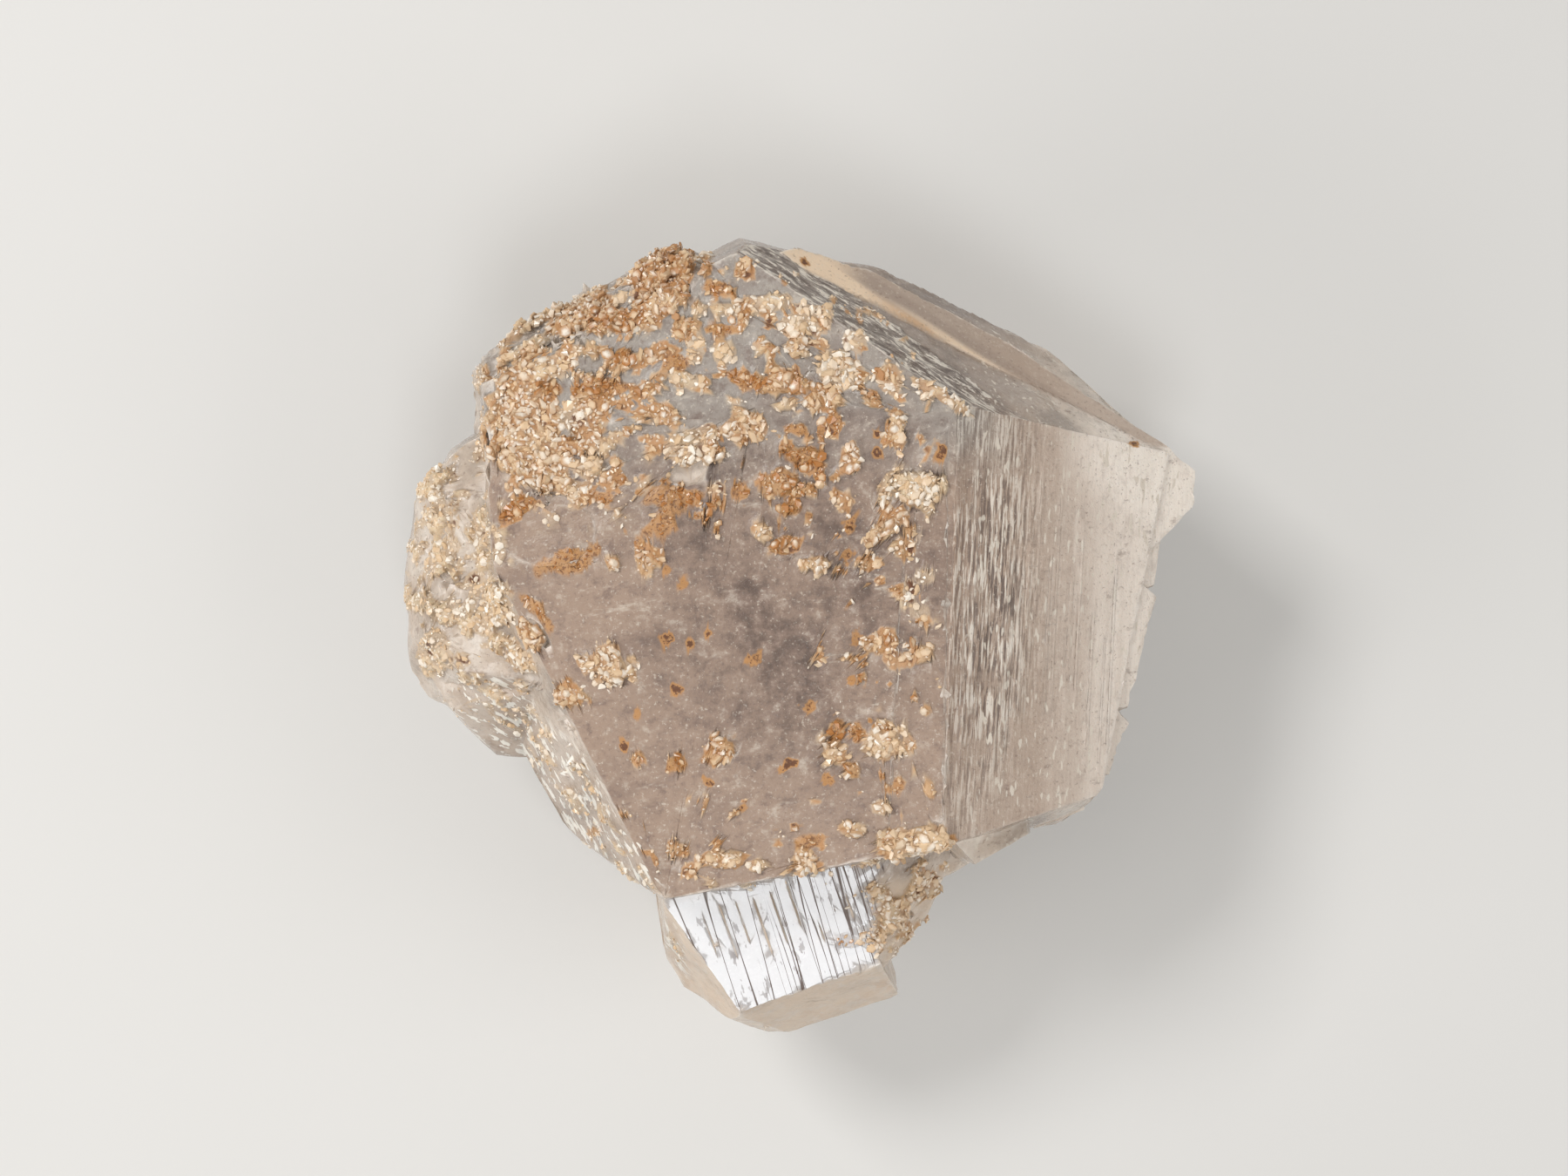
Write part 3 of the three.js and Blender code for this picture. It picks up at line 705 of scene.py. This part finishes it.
body_mesh = bpy.data.meshes.new("crystal_body")
body_mesh.from_pydata(points * MM, [], faces)
shares = dict(crust=crust, rust=rust, window=window, striated=striated, bright=bright_face,
              broken=broken, band=band_face, shoulder=shoulder, outward=outward, big_face=big_face,
              lumps=lumps, spot=spot, flaked=flaked, pale=pale, edge=painted_edge_highlight)
for name, values in {**shares, "grain_size": grain_size}.items():
    attribute = body_mesh.attributes.new(name, "FLOAT", "POINT")
    attribute.data.foreach_set("value", values.astype(np.float32))
body_mesh.shade_smooth()
body_mesh.set_sharp_from_angle(angle=math.radians(SHARP_FROM))
body = new_object("crystal_body", body_mesh)
print("body:", len(body_mesh.polygons), "triangles")

# %% [markdown]
# ## Shader maths as expressions
# Material masks are sums and products of noises. Written as plain expressions they are easy to
# read, so a small class wraps a socket and turns each operator into a Math node. One function
# makes every other node: its kind, its settings, and what goes into its sockets.

# %% Nodes and values
def add_node(tree, kind, settings, sockets):
    """A new node: settings first, then a value or a link for each named or numbered socket."""
    node = tree.nodes.new(kind)
    for name, setting in settings.items():
        setattr(node, name, setting)
    for name, given in sockets.items():
        if isinstance(given, Value):
            given = given.socket
        if isinstance(given, bpy.types.NodeSocket):
            tree.links.new(given, node.inputs[name])
        else:
            node.inputs[name].default_value = given
    return node


class Value:
    """A number that varies over the surface. Its operators add Math nodes."""

    def __init__(self, socket):
        self.socket = socket

    def math(self, operation, first, second):
        tree = self.socket.id_data
        node = add_node(tree, "ShaderNodeMath", {"operation": operation}, {0: first, 1: second})
        return Value(node.outputs[0])

    def __add__(self, other):
        return self.math("ADD", self, other)

    def __sub__(self, other):
        return self.math("SUBTRACT", self, other)

    def __rsub__(self, other):
        return self.math("SUBTRACT", other, self)

    def __mul__(self, other):
        return self.math("MULTIPLY", self, other)

    __radd__ = __add__
    __rmul__ = __mul__


print("values ready")

# %% Finishes and colours
class Finish:
    """A material in the making: a node tree, and places on the piece in mm."""

    def __init__(self, name):
        self.material = bpy.data.materials.new(name)
        self.material.use_nodes = True
        self.tree = self.material.node_tree
        self.tree.nodes.clear()
        coordinates = self.node("ShaderNodeTexCoord", {}, {})
        self.place = self.scaled(coordinates.outputs["Object"], (1 / MM,) * 3)

    def node(self, kind, settings, sockets):
        return add_node(self.tree, kind, settings, sockets)

    def scaled(self, vector, by):
        node = self.node("ShaderNodeVectorMath", {"operation": "MULTIPLY"}, {0: vector, 1: by})
        return node.outputs[0]

    def stretched(self, azimuth, along, beside):
        """The place turned to an azimuth and scaled along it and beside it."""
        turned = self.node("ShaderNodeMapping", {"vector_type": "TEXTURE"},
                           {"Vector": self.place, "Rotation": (0, 0, math.radians(azimuth))})
        return self.scaled(turned.outputs[0], (along, beside, beside))

    def noise(self, vector, scale, detail=3, roughness=0.55):
        node = self.node("ShaderNodeTexNoise", {},
                         {"Vector": vector, "Scale": scale, "Detail": detail, "Roughness": roughness})
        return Value(node.outputs["Fac"])

    def streaks(self, azimuth, along, beside, detail, roughness):
        """Noise drawn out along an azimuth, by its scales along it and beside it."""
        return self.noise(self.stretched(azimuth, along, beside), 1, detail, roughness)

    def step(self, value, start, end):
        """0 before start, 1 after end, and smooth between them."""
        node = self.node("ShaderNodeMapRange", {"interpolation_type": "SMOOTHSTEP"},
                         {"Value": value, "From Min": start, "From Max": end})
        return Value(node.outputs["Result"])

    def attribute(self, name):
        node = self.node("ShaderNodeAttribute", {"attribute_name": name}, {})
        return Value(node.outputs["Fac"])

    def colour(self, factor, first, second):
        """first where factor is 0 and second where it is 1."""
        node = self.node("ShaderNodeMix", {"data_type": "RGBA"}, {0: factor, 6: first, 7: second})
        return node.outputs[2]


def srgb(red, green, blue):
    """A colour as it is named on a screen, from 0 to 255, as linear light."""
    return tuple(((c / 255 + 0.055) / 1.055) ** 2.4 for c in (red, green, blue)) + (1,)


print("finishes ready")

# %% [markdown]
# ## The stone's finish
# Quartz is clear, and milky where tiny bubbles fill it. So the body mixes two shaders: a cloudy
# one, where light spreads up to a millimetre under the skin, and a clear one with quartz's
# refractive index of 1.544, which light crosses and leaves darker. The window share and noises
# pick between them. Rust and cream are colour on the skin, and the finest striations are bump.

# %% Colours of the stone
QUARTZ_IOR = 1.544
GREY_PINK = srgb(167, 142, 123)
COOL_GREY = srgb(162, 152, 142)
# The pale side colour is also painted light on the prism face.
PALE_SIDE = srgb(189, 167, 149)
BROKEN_SIDE = srgb(210, 193, 176)
# The pale edge colour is a pale tone, and also a painted highlight along edges and painted light on the
# prism face's right part.
PALE_TONE_AND_HIGHLIGHT = srgb(250, 238, 225)
# The smoke colour is the stone's own smoky tone, and also painted shade on the windows, the band and the
# shoulder.
SMOKE_AND_SHADE = srgb(120, 98, 87)
# The deep smoke colour is painted shade and a painted dark reflection, and the gleam colour is a painted
# highlight.
PAINTED_DEEP_SHADE = srgb(104, 86, 76)
FROST = srgb(224, 212, 196)
GLEAM = srgb(240, 230, 216)
RUST = srgb(190, 138, 82)
# The dark rust colour is rust, and also painted shade between the crust's lumps.
DARK_RUST_AND_SHADE = srgb(108, 62, 24)
CREAM = srgb(244, 218, 180)
FLAKE = srgb(255, 248, 236)
# The silver colour is a painted reflection on the mirror-bright face.
PAINTED_REFLECTION_GREY = srgb(206, 206, 207)
SAND = srgb(206, 180, 150)
TAN = srgb(197, 147, 99)
SIDE_GREY = srgb(160, 144, 132)
SIDE_WHITE = srgb(236, 226, 214)
# The shoulder cream is painted light on the shoulder's rounded relief.
SHOULDER_CREAM = srgb(242, 216, 186)
SMALL_SIDE = srgb(246, 224, 200)

stone = Finish("milky_quartz")
step = stone.step
position = stone.node("ShaderNodeSeparateXYZ", {}, {0: stone.place})
x_place, y_place = Value(position.outputs[0]), Value(position.outputs[1])
on = {name: stone.attribute(name) for name in shares}
print("shares at hand:", *on)

# %% Patterns of the stone
FLAT = (1, 1, 0)
BRIGHT_AZIMUTH = 287

veils = stone.noise(stone.place, 0.16, 3)
mottle = stone.noise(stone.place, 0.9, 5, 0.7)
grit = stone.noise(stone.place, 4, 3, 0.7)
haze = stone.noise(stone.place, 0.2, 4, 0.62)
hackle = stone.noise(stone.place, 0.55, 2, 0.5)
patches = stone.streaks(4, 0.22, 0.36, 4, 0.65)
wisps = stone.streaks(8, 0.28, 0.9, 4, 0.72)
dashes = stone.streaks(STRIATION_AZIMUTH, 0.5, 4.8, 2, 0.6)
marks = stone.streaks(STRIATION_AZIMUTH, 0.9, 2.6, 1, 0.5)
long_streaks = stone.streaks(STRIATION_AZIMUTH, 0.05, 0.9, 2, 0.6)
soft_bands = stone.streaks(STRIATION_AZIMUTH, 0.12, 0.8, 2, 0.5)
band_streaks = stone.streaks(BAND_AZIMUTH, 0.8, 2.8, 3, 0.7)
broad_streaks = stone.streaks(BAND_AZIMUTH, 0.06, 0.5, 3, 0.6)
flake = step(stone.streaks(134, 0.75, 1.7, 2, 0.6), 0.55, 0.57) * on["flaked"]
healed = step(veils, 0.485, 0.5) * step(veils, 0.515, 0.5) * step(haze, 0.45, 0.62)


def thin_lines(per_mm, between=0.02):
    """Thin lines across the bright face, where a field stretched along them passes its middle."""
    flat_place = stone.scaled(stone.stretched(BRIGHT_AZIMUTH, 0.04, per_mm), FLAT)
    field = stone.noise(flat_place, 1, 1, 0.4)
    return step(field, 0.495 - between, 0.495) * step(field, 0.505 + between, 0.505)


chipped = stone.noise(stone.scaled(stone.stretched(BRIGHT_AZIMUTH, 0.6, 1.4), FLAT), 1, 3, 0.7)
# Scored lines on the bright face: rougher relief, and painted shade where the reflection breaks.
scored_and_shaded = thin_lines(0.6, 0.012) + thin_lines(1.7) * step(x_place + 4 * (mottle - 0.5), -2.5, -0.5)
scored_and_shaded = (scored_and_shaded + step(chipped, 0.6, 0.62) * 0.4) * on["bright"]
print("patterns:", len(stone.tree.nodes), "nodes")

# %% Where the colours lie
small_end = step(y_place, -14.5, -16)
side = on["broken"] * (1 - small_end)
small_side = on["broken"] * small_end
rear = step(y_place + 0.5 * x_place, 18, 21)
# Where the prism face's striations get dashes of painted shade and painted gleam.
dashed = on["striated"] * step(patches, 0.3, 0.5)
ragged = on["outward"] + 0.5 * (broad_streaks - 0.5)
left_end = step(x_place, 5, 2)
foot_of_band = step(ragged, 0.4, 0.2) * step(x_place, 16, 12)
orange = step(broad_streaks, 0.48, 0.62) * step(x_place, 4, 8) * foot_of_band
# A grey streak across the shoulder: painted shade of a groove.
painted_groove_shade = step(ragged, 0.3, 0.45) * step(ragged, 0.85, 0.65) * (1 - left_end)
crusty = step(on["crust"], 0.1, 0.5)
rusty_specks = step(on["rust"], 0.4, 0.8) * step(grit, 0.5, 0.62)
print("masks:", len(stone.tree.nodes), "nodes")

# %% [markdown]
# ## Layers of colour
# The stone is painted from the bottom up: first the bare stone, then what grew or broke on each
# face, then flakes, crust and rust. Some layers are wholly or partly painted light and shade:
# light on the prism face's right part and along edges, dark on the windows and the band, dashes
# of shade and gleam along striations, a grey reflection and dark lines on the mirror face, cream
# and grey on the shoulder, and shade between crust lumps. A layer is a mask and a colour, and it
# covers the layers before it as far as its mask says.

# %% Bare stone
tone = stone.colour(step(y_place + 8 * (veils - 0.5), 9, 15), GREY_PINK, COOL_GREY)
layers = [
    # The prism face paler past its striations and towards its right edge: partly its own tone, and partly
    # painted light.
    (on["pale"], PALE_SIDE),
    (step(x_place + 3 * (long_streaks - 0.5), 14, 23) * 0.85, PALE_TONE_AND_HIGHLIGHT),
    (step(soft_bands, 0.58, 0.68) * step(x_place, 15, 18) * 0.3, PALE_TONE_AND_HIGHLIGHT),
    (on["broken"] * 0.8, BROKEN_SIDE),
    (step(haze, 0.5, 0.3) * side * 0.4, SIDE_GREY),
    (step(haze, 0.5, 0.72) * side * 0.6, SIDE_WHITE),
    (healed * side * 0.4, SIDE_WHITE),
    (rear * step(x_place, 16, 21), PALE_TONE_AND_HIGHLIGHT),
    (rear * step(x_place, 18, 13) * on["broken"] * 0.45, SMOKE_AND_SHADE),
    (step(patches, 0.48, 0.7) * on["big_face"] * 0.4, SMOKE_AND_SHADE),
    # Painted shade on the clear windows, and a painted dark reflection on the band.
    (on["window"] * 0.68, SMOKE_AND_SHADE),
    (step(mottle, 0.5, 0.7) * (0.2 + 0.5 * on["big_face"]), SMOKE_AND_SHADE),
    (step(mottle, 0.46, 0.28) * 0.4, FROST),
    (step(wisps, 0.6, 0.74) * 0.45, FROST),
    (step(wisps, 0.41, 0.28) * 0.5, SMOKE_AND_SHADE),
]
print(len(layers), "layers of bare stone")

# %% Prism face, band, shoulder and small crystal
layers += [
    # Painted shade and painted gleam in dashes along the striations.
    (step(dashes, 0.48, 0.42) * dashed * 0.9, PAINTED_DEEP_SHADE),
    (step(dashes, 0.53, 0.58) * dashed * 0.9, GLEAM),
    (step(marks, 0.64, 0.7) * step(x_place, 9, 12), FROST),
    (on["shoulder"] * 0.8, PALE_SIDE),
    # Painted dark reflection and painted gleam along the band's steps.
    (step(band_streaks, 0.47, 0.4) * on["band"] * 0.8, PAINTED_DEEP_SHADE),
    (step(band_streaks, 0.51, 0.57) * on["band"], GLEAM),
    # On the shoulder, the cream at the band's foot and at the left end is painted light, and the grey streak
    # is painted shade, both for its rounded relief; the orange is a stain.
    ((foot_of_band + left_end) * on["shoulder"] * 0.9, SHOULDER_CREAM),
    (orange * on["shoulder"] * 0.6, RUST),
    (painted_groove_shade * on["shoulder"] * 0.2, SMOKE_AND_SHADE),
    (step(grit, 0.58, 0.7) * 0.55, FROST),
    (step(grit, 0.42, 0.3) * 0.5, SMOKE_AND_SHADE),
    (small_side * 0.7, SMALL_SIDE),
    (small_side * step(haze, 0.52, 0.66) * 0.2, TAN),
    (small_side * step(patches, 0.5, 0.66) * 0.25, GREY_PINK),
    (small_side * step(mottle, 0.5, 0.64) * 0.4, SIDE_WHITE),
    # Painted highlight along the edges.
    (on["edge"] * (0.2 + 0.8 * step(mottle, 0.4, 0.55)) * 0.6, PALE_TONE_AND_HIGHLIGHT),
]
print(len(layers), "layers with the other faces")

# %% Flakes, crust and rust
layers += [
    (on["flaked"] * 0.3, GREY_PINK),
    (flake * 0.9, FLAKE),
    (crusty * 0.8, SAND),
    (crusty * step(on["rust"], 0.1, 0.5), TAN),
    (on["crust"] * step(on["lumps"], 0.46, 0.62) * 0.7, CREAM),
    (step(on["rust"], 0.3, 0.9) * (0.45 + 0.8 * mottle), RUST),
    # Rust stain and painted shade in the low places between the crust's lumps.
    (step(on["crust"], 0.3, 0.8) * step(on["lumps"], 0.34, 0.24), DARK_RUST_AND_SHADE),
    (rusty_specks * 0.75, DARK_RUST_AND_SHADE),
    (step(on["spot"], 0.05, 0.5), RUST),
    (step(on["spot"] + 1.4 * (grit - 0.5), 0.6, 0.85), DARK_RUST_AND_SHADE),
    # A painted reflection grey on the mirror-bright face, then painted shade along its scored lines.
    (on["bright"] * 0.8, PAINTED_REFLECTION_GREY),
    (scored_and_shaded, PAINTED_DEEP_SHADE),
]
for where, colour in layers:
    tone = stone.colour(where, tone, colour)
print(len(layers), "layers of colour:", len(stone.tree.nodes), "nodes")

# %% Milky and clear quartz
SPREAD = 0.7 * MM
BUMP_DEPTH = 0.14 * MM
RED_FARTHEST = (1, 0.85, 0.75)
CLEAR_TINT = (0.96, 0.94, 0.93, 1)
SMOKE_TINT = (0.52, 0.47, 0.45, 1)
SMOKE_PER_METRE = 70

height = 0.9 * dashes * on["striated"] + 0.8 * band_streaks * on["band"] + 2.2 * hackle * on["broken"]
height = height + grit * (0.35 - 0.35 * on["bright"] + 0.5 * on["crust"]) + 0.8 * flake
bump = stone.node("ShaderNodeBump", {}, {"Strength": 0.7, "Distance": BUMP_DEPTH, "Height": height})
normal = bump.outputs["Normal"]
roughness = 0.38 - 0.18 * on["broken"] - 0.28 * on["bright"] + 0.2 * (mottle - 0.5) + 0.15 * on["crust"]
roughness = roughness + 0.5 * scored_and_shaded

milky = stone.node("ShaderNodeBsdfPrincipled", {"subsurface_method": "RANDOM_WALK"}, {
    "Base Color": tone, "Roughness": roughness, "IOR": QUARTZ_IOR, "Subsurface Weight": 0.2,
    "Subsurface Radius": RED_FARTHEST, "Subsurface Scale": SPREAD, "Normal": normal,
})
clear = stone.node("ShaderNodeBsdfPrincipled", {}, {
    "Base Color": CLEAR_TINT, "Roughness": 0.16, "IOR": QUARTZ_IOR,
    "Transmission Weight": 1, "Normal": normal,
})
clearness = 0.1 + 0.35 * on["window"] * step(mottle, 0.4, 0.62) + 0.15 * (veils - 0.5)
clearness = clearness + side * step(haze, 0.55, 0.35) * 0.2 + small_side * 0.12
mixed = stone.node("ShaderNodeMixShader", {}, {0: clearness, 1: milky.outputs[0], 2: clear.outputs[0]})
smoke = stone.node("ShaderNodeVolumeAbsorption", {}, {"Color": SMOKE_TINT, "Density": SMOKE_PER_METRE})
stone.node("ShaderNodeOutputMaterial", {}, {"Surface": mixed.outputs[0], "Volume": smoke.outputs[0]})
body_mesh.materials.append(stone.material)
print("stone nodes:", len(stone.tree.nodes))

# %% [markdown]
# ## The grains' finish
# The grains are the same quartz, only small and clean at their tips and darker at their feet:
# stained where iron-rich water dried, and with painted shade where they meet the stone. The height
# on a grain and a random number for each grain are attributes, so no two grains look alike. They
# stay glossy and glint.

# %% Grain quartz
GRAIN_TAN = srgb(231, 199, 160)
GRAIN_CREAM = srgb(250, 239, 223)
# Feet are darker than heads: painted shade where a grain meets the stone, and rust on the rusty ones.
SHADED_CLEAN_FOOT = srgb(224, 198, 164)
RUSTY_SHADED_FOOT = srgb(184, 124, 68)

grain = Finish("grain_quartz")
tip, chance, grain_rust = (grain.attribute(name) for name in ("tip", "chance", "grain_rust"))
speckle = grain.noise(grain.place, 3, 3)
head = grain.colour(grain.step(chance, 0.1, 0.9), GRAIN_TAN, GRAIN_CREAM)
# The foot colour is painted shade, and rust stain as far as the grain is rusty.
stained_and_shaded_foot = grain.colour(grain.step(grain_rust, 0, 0.8), SHADED_CLEAN_FOOT, RUSTY_SHADED_FOOT)
stain_and_shade_line = tip + 0.5 * (speckle - 0.5) - 0.85 * grain_rust * (0.3 + 0.7 * chance)
grain_tone = grain.colour(grain.step(stain_and_shade_line, 0.1, 0.5), stained_and_shaded_foot, head)
grain_shader = grain.node("ShaderNodeBsdfPrincipled", {}, {
    "Base Color": grain_tone, "Roughness": 0.24, "IOR": QUARTZ_IOR, "Transmission Weight": 0.12,
})
grain.node("ShaderNodeOutputMaterial", {}, {"Surface": grain_shader.outputs[0]})
print("grain nodes:", len(grain.tree.nodes))

# %% [markdown]
# ## Grain shapes
# A quartz grain is a six-sided column with a six-sided point, and where grains crowd each other
# they end up as angular chips. One stout point and four chips are enough when each copy is turned
# and scaled by chance. A chip is the convex hull of a few random points. With only a few faces
# each, thousands of them stay light.

# %% Quartz points and chips
SUNK = 0.4
CHIP_SPOTS = 11
CHIP_SIDES = np.array([1, 0.8, 0.65])


def grain_shape(name, mesh, tips):
    """A shape to copy: the mesh with its finish, and how near its tip each vertex is."""
    attribute = mesh.attributes.new("tip", "FLOAT", "POINT")
    attribute.data.foreach_set("value", tips)
    mesh.materials.append(grain.material)
    return bpy.data.objects.new(name, mesh)


def quartz_point(name, shaft, point, lean):
    """A closed six-sided column with a point: heights in grain radii, and how far the tip leans."""
    vertices = []
    for level, radius in ((0, 0.92), (shaft, 1)):
        for i in range(6):
            a = math.radians(60 * i)
            vertices.append((radius * math.cos(a), radius * math.sin(a), level - SUNK))
    vertices.append((lean, 0.2 * lean, shaft + point - SUNK))
    tips = [0] * 6 + [shaft / (shaft + point)] * 6 + [1]
    sides = [(i, (i + 1) % 6, 6 + (i + 1) % 6, 6 + i) for i in range(6)]
    top = [(6 + i, 6 + (i + 1) % 6, 12) for i in range(6)]
    mesh = bpy.data.meshes.new(name)
    mesh.from_pydata(vertices, [], sides + top + [(5, 4, 3, 2, 1, 0)])
    return grain_shape(name, mesh, tips)


def chip(name, seed):
    """A closed angular chip, about 1 in radius: the convex hull of a few random points."""
    random = np.random.default_rng(seed)
    spots = random.normal(size=(CHIP_SPOTS, 3))
    spots *= CHIP_SIDES / np.linalg.norm(spots, axis=1)[:, None]
    shell = bmesh.new()
    for spot in spots:
        shell.verts.new(spot)
    bmesh.ops.convex_hull(shell, input=shell.verts)
    mesh = bpy.data.meshes.new(name)
    shell.to_mesh(mesh)
    shell.free()
    return grain_shape(name, mesh, [0.5 + 0.5 * v.co.z for v in mesh.vertices])


grain_shapes = bpy.data.collections.new("grain_shapes")
scene.collection.children.link(grain_shapes)
grain_shapes.objects.link(quartz_point("stout", 0.4, 0.5, 0.2))
for seed in (3, 4, 9, 12):
    grain_shapes.objects.link(chip(f"chip_{seed}", seed))

# %% [markdown]
# ## Growing the crust
# Thousands of grains by hand would be endless, and a particle system is lost on export. Geometry
# Nodes scatter points over the body as densely as the crust attribute says, put a grain on each,
# standing off the surface with a random lean, and make the result real geometry.

# %% Crust tree
def crust_tree():
    """Grains scattered over a surface by its crust attribute."""
    tree = bpy.data.node_groups.new("crust_of_grains", "GeometryNodeTree")
    tree.is_modifier = True
    wanted = {"Geometry": "Geometry", "Spacing": "Float", "Density": "Float", "Radius": "Float",
              "Lean": "Float", "Seed": "Int"}
    for label, kind in wanted.items():
        tree.interface.new_socket(label, in_out="INPUT", socket_type=f"NodeSocket{kind}")
    tree.interface.new_socket("Geometry", in_out="OUTPUT", socket_type="NodeSocketGeometry")
    given = add_node(tree, "NodeGroupInput", {}, {}).outputs

    def first(kind, settings, sockets):
        """The first output of a new node."""
        return add_node(tree, kind, settings, sockets).outputs[0]

    def named(attribute):
        return first("GeometryNodeInputNamedAttribute", {"data_type": "FLOAT"}, {"Name": attribute})

    def chance_between(kind, lowest, highest, offset):
        """A random value for each point. Each kind has its own inputs and output."""
        seed = first("FunctionNodeIntegerMath", {"operation": "ADD"}, {0: given["Seed"], 1: offset})
        pair = ("FLOAT_VECTOR", "FLOAT").index(kind)
        node = add_node(tree, "FunctionNodeRandomValue", {"data_type": kind},
                        {2 * pair: lowest, 2 * pair + 1: highest, "Seed": seed})
        return node.outputs[pair]

    scattered = add_node(tree, "GeometryNodeDistributePointsOnFaces", {"distribute_method": "POISSON"}, {
        "Mesh": given["Geometry"], "Distance Min": given["Spacing"], "Density Max": given["Density"],
        "Density Factor": named("crust"), "Seed": given["Seed"],
    }).outputs
    marked = scattered["Points"]
    for mark, value in (("grain_rust", named("rust")), ("chance", chance_between("FLOAT", 0, 1, 1))):
        marked = first("GeometryNodeStoreNamedAttribute", {"data_type": "FLOAT", "domain": "POINT"},
                       {"Geometry": marked, "Name": mark, "Value": value})
    tilt = first("ShaderNodeVectorMath", {"operation": "SCALE"},
                 {0: chance_between("FLOAT_VECTOR", (-1, -1, -6), (1, 1, 6), 2), "Scale": given["Lean"]})
    turned = first("FunctionNodeEulerToRotation", {}, {0: tilt})
    rotation = first("FunctionNodeRotateRotation", {"rotation_space": "LOCAL"},
                     {0: scattered["Rotation"], 1: turned})
    radius = first("ShaderNodeMath", {"operation": "MULTIPLY"}, {0: named("grain_size"), 1: given["Radius"]})
    scale = first("ShaderNodeVectorMath", {"operation": "SCALE"},
                  {0: chance_between("FLOAT_VECTOR", (0.7, 0.7, 0.6), (1.3, 1.1, 1.1), 3), "Scale": radius})
    shapes = first("GeometryNodeCollectionInfo", {}, {"Collection": grain_shapes, "Separate Children": True})
    grains = first("GeometryNodeInstanceOnPoints", {}, {
        "Points": marked, "Instance": shapes, "Pick Instance": True, "Rotation": rotation, "Scale": scale,
    })
    real = first("GeometryNodeRealizeInstances", {}, {0: grains})
    finished = first("GeometryNodeSetMaterial", {}, {"Geometry": real, "Material": grain.material})
    add_node(tree, "NodeGroupOutput", {}, {0: finished})
    return tree


tree = crust_tree()
print("crust tree:", len(tree.nodes), "nodes")

# %% Grow the grains
def grow(name, surface, tree, inputs):
    """A new piece of plain mesh, grown over a surface by a tree with the given inputs."""
    modifier = surface.modifiers.new(name, "NODES")
    modifier.node_group = tree
    for item in tree.interface.items_tree:
        if item.in_out == "INPUT" and item.name in inputs:
            modifier[item.identifier] = inputs[item.name]
    grown = surface.evaluated_get(bpy.context.evaluated_depsgraph_get())
    mesh = bpy.data.meshes.new_from_object(grown)
    surface.modifiers.remove(modifier)
    mesh.name = name
    piece = new_object(name, mesh)
    mesh.calc_loop_triangles()
    print(name, "has", len(mesh.loop_triangles), "triangles")
    return piece


# Spacing and radius are lengths, and density is how many grains lie on a square metre at most.
coarse = grow("coarse_grains", body, tree, {
    "Spacing": 0.38 * MM, "Density": 14e6, "Radius": 0.42 * MM, "Lean": 0.5, "Seed": 5,
})
fine = grow("fine_grains", body, tree, {
    "Spacing": 0.22 * MM, "Density": 30e6, "Radius": 0.21 * MM, "Lean": 0.8, "Seed": 8,
})
for shape in list(grain_shapes.objects):
    bpy.data.objects.remove(shape)
bpy.data.collections.remove(grain_shapes)

# %% [markdown]
# ## The floor's finish
# A pale matt sheet, with the faintest unevenness, so that the stone's own soft shadow shows.

# %% Floor finish
PAPER_GREY = srgb(214, 212, 208)
PAPER_WHITE = srgb(220, 218, 215)

paper = Finish("pale_paper")
shade = paper.colour(paper.noise(paper.place, 0.02, 2), PAPER_GREY, PAPER_WHITE)
sheet = paper.node("ShaderNodeBsdfPrincipled", {}, {"Base Color": shade, "Roughness": 0.85})
paper.node("ShaderNodeOutputMaterial", {}, {"Surface": sheet.outputs[0]})
floor.data.materials.append(paper.material)
print("floor finished")

# %% [markdown]
# ## Hand over to the frame
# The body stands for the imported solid, and everything rides on the one body there is. The boxes
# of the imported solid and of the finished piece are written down, so they can be compared.

# %% Ride, replace, measure
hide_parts("quartz_crystal")
for piece, slot in ((body, "quartz"), (coarse, "grain_crust"), (fine, "grain_crust")):
    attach(piece, "root")
low_now, high_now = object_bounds()
past = (*(low_now - cad_low), *(high_now - cad_high))
print("box differs from the solid's by, in mm:", [round(v / MM, 2) for v in past])
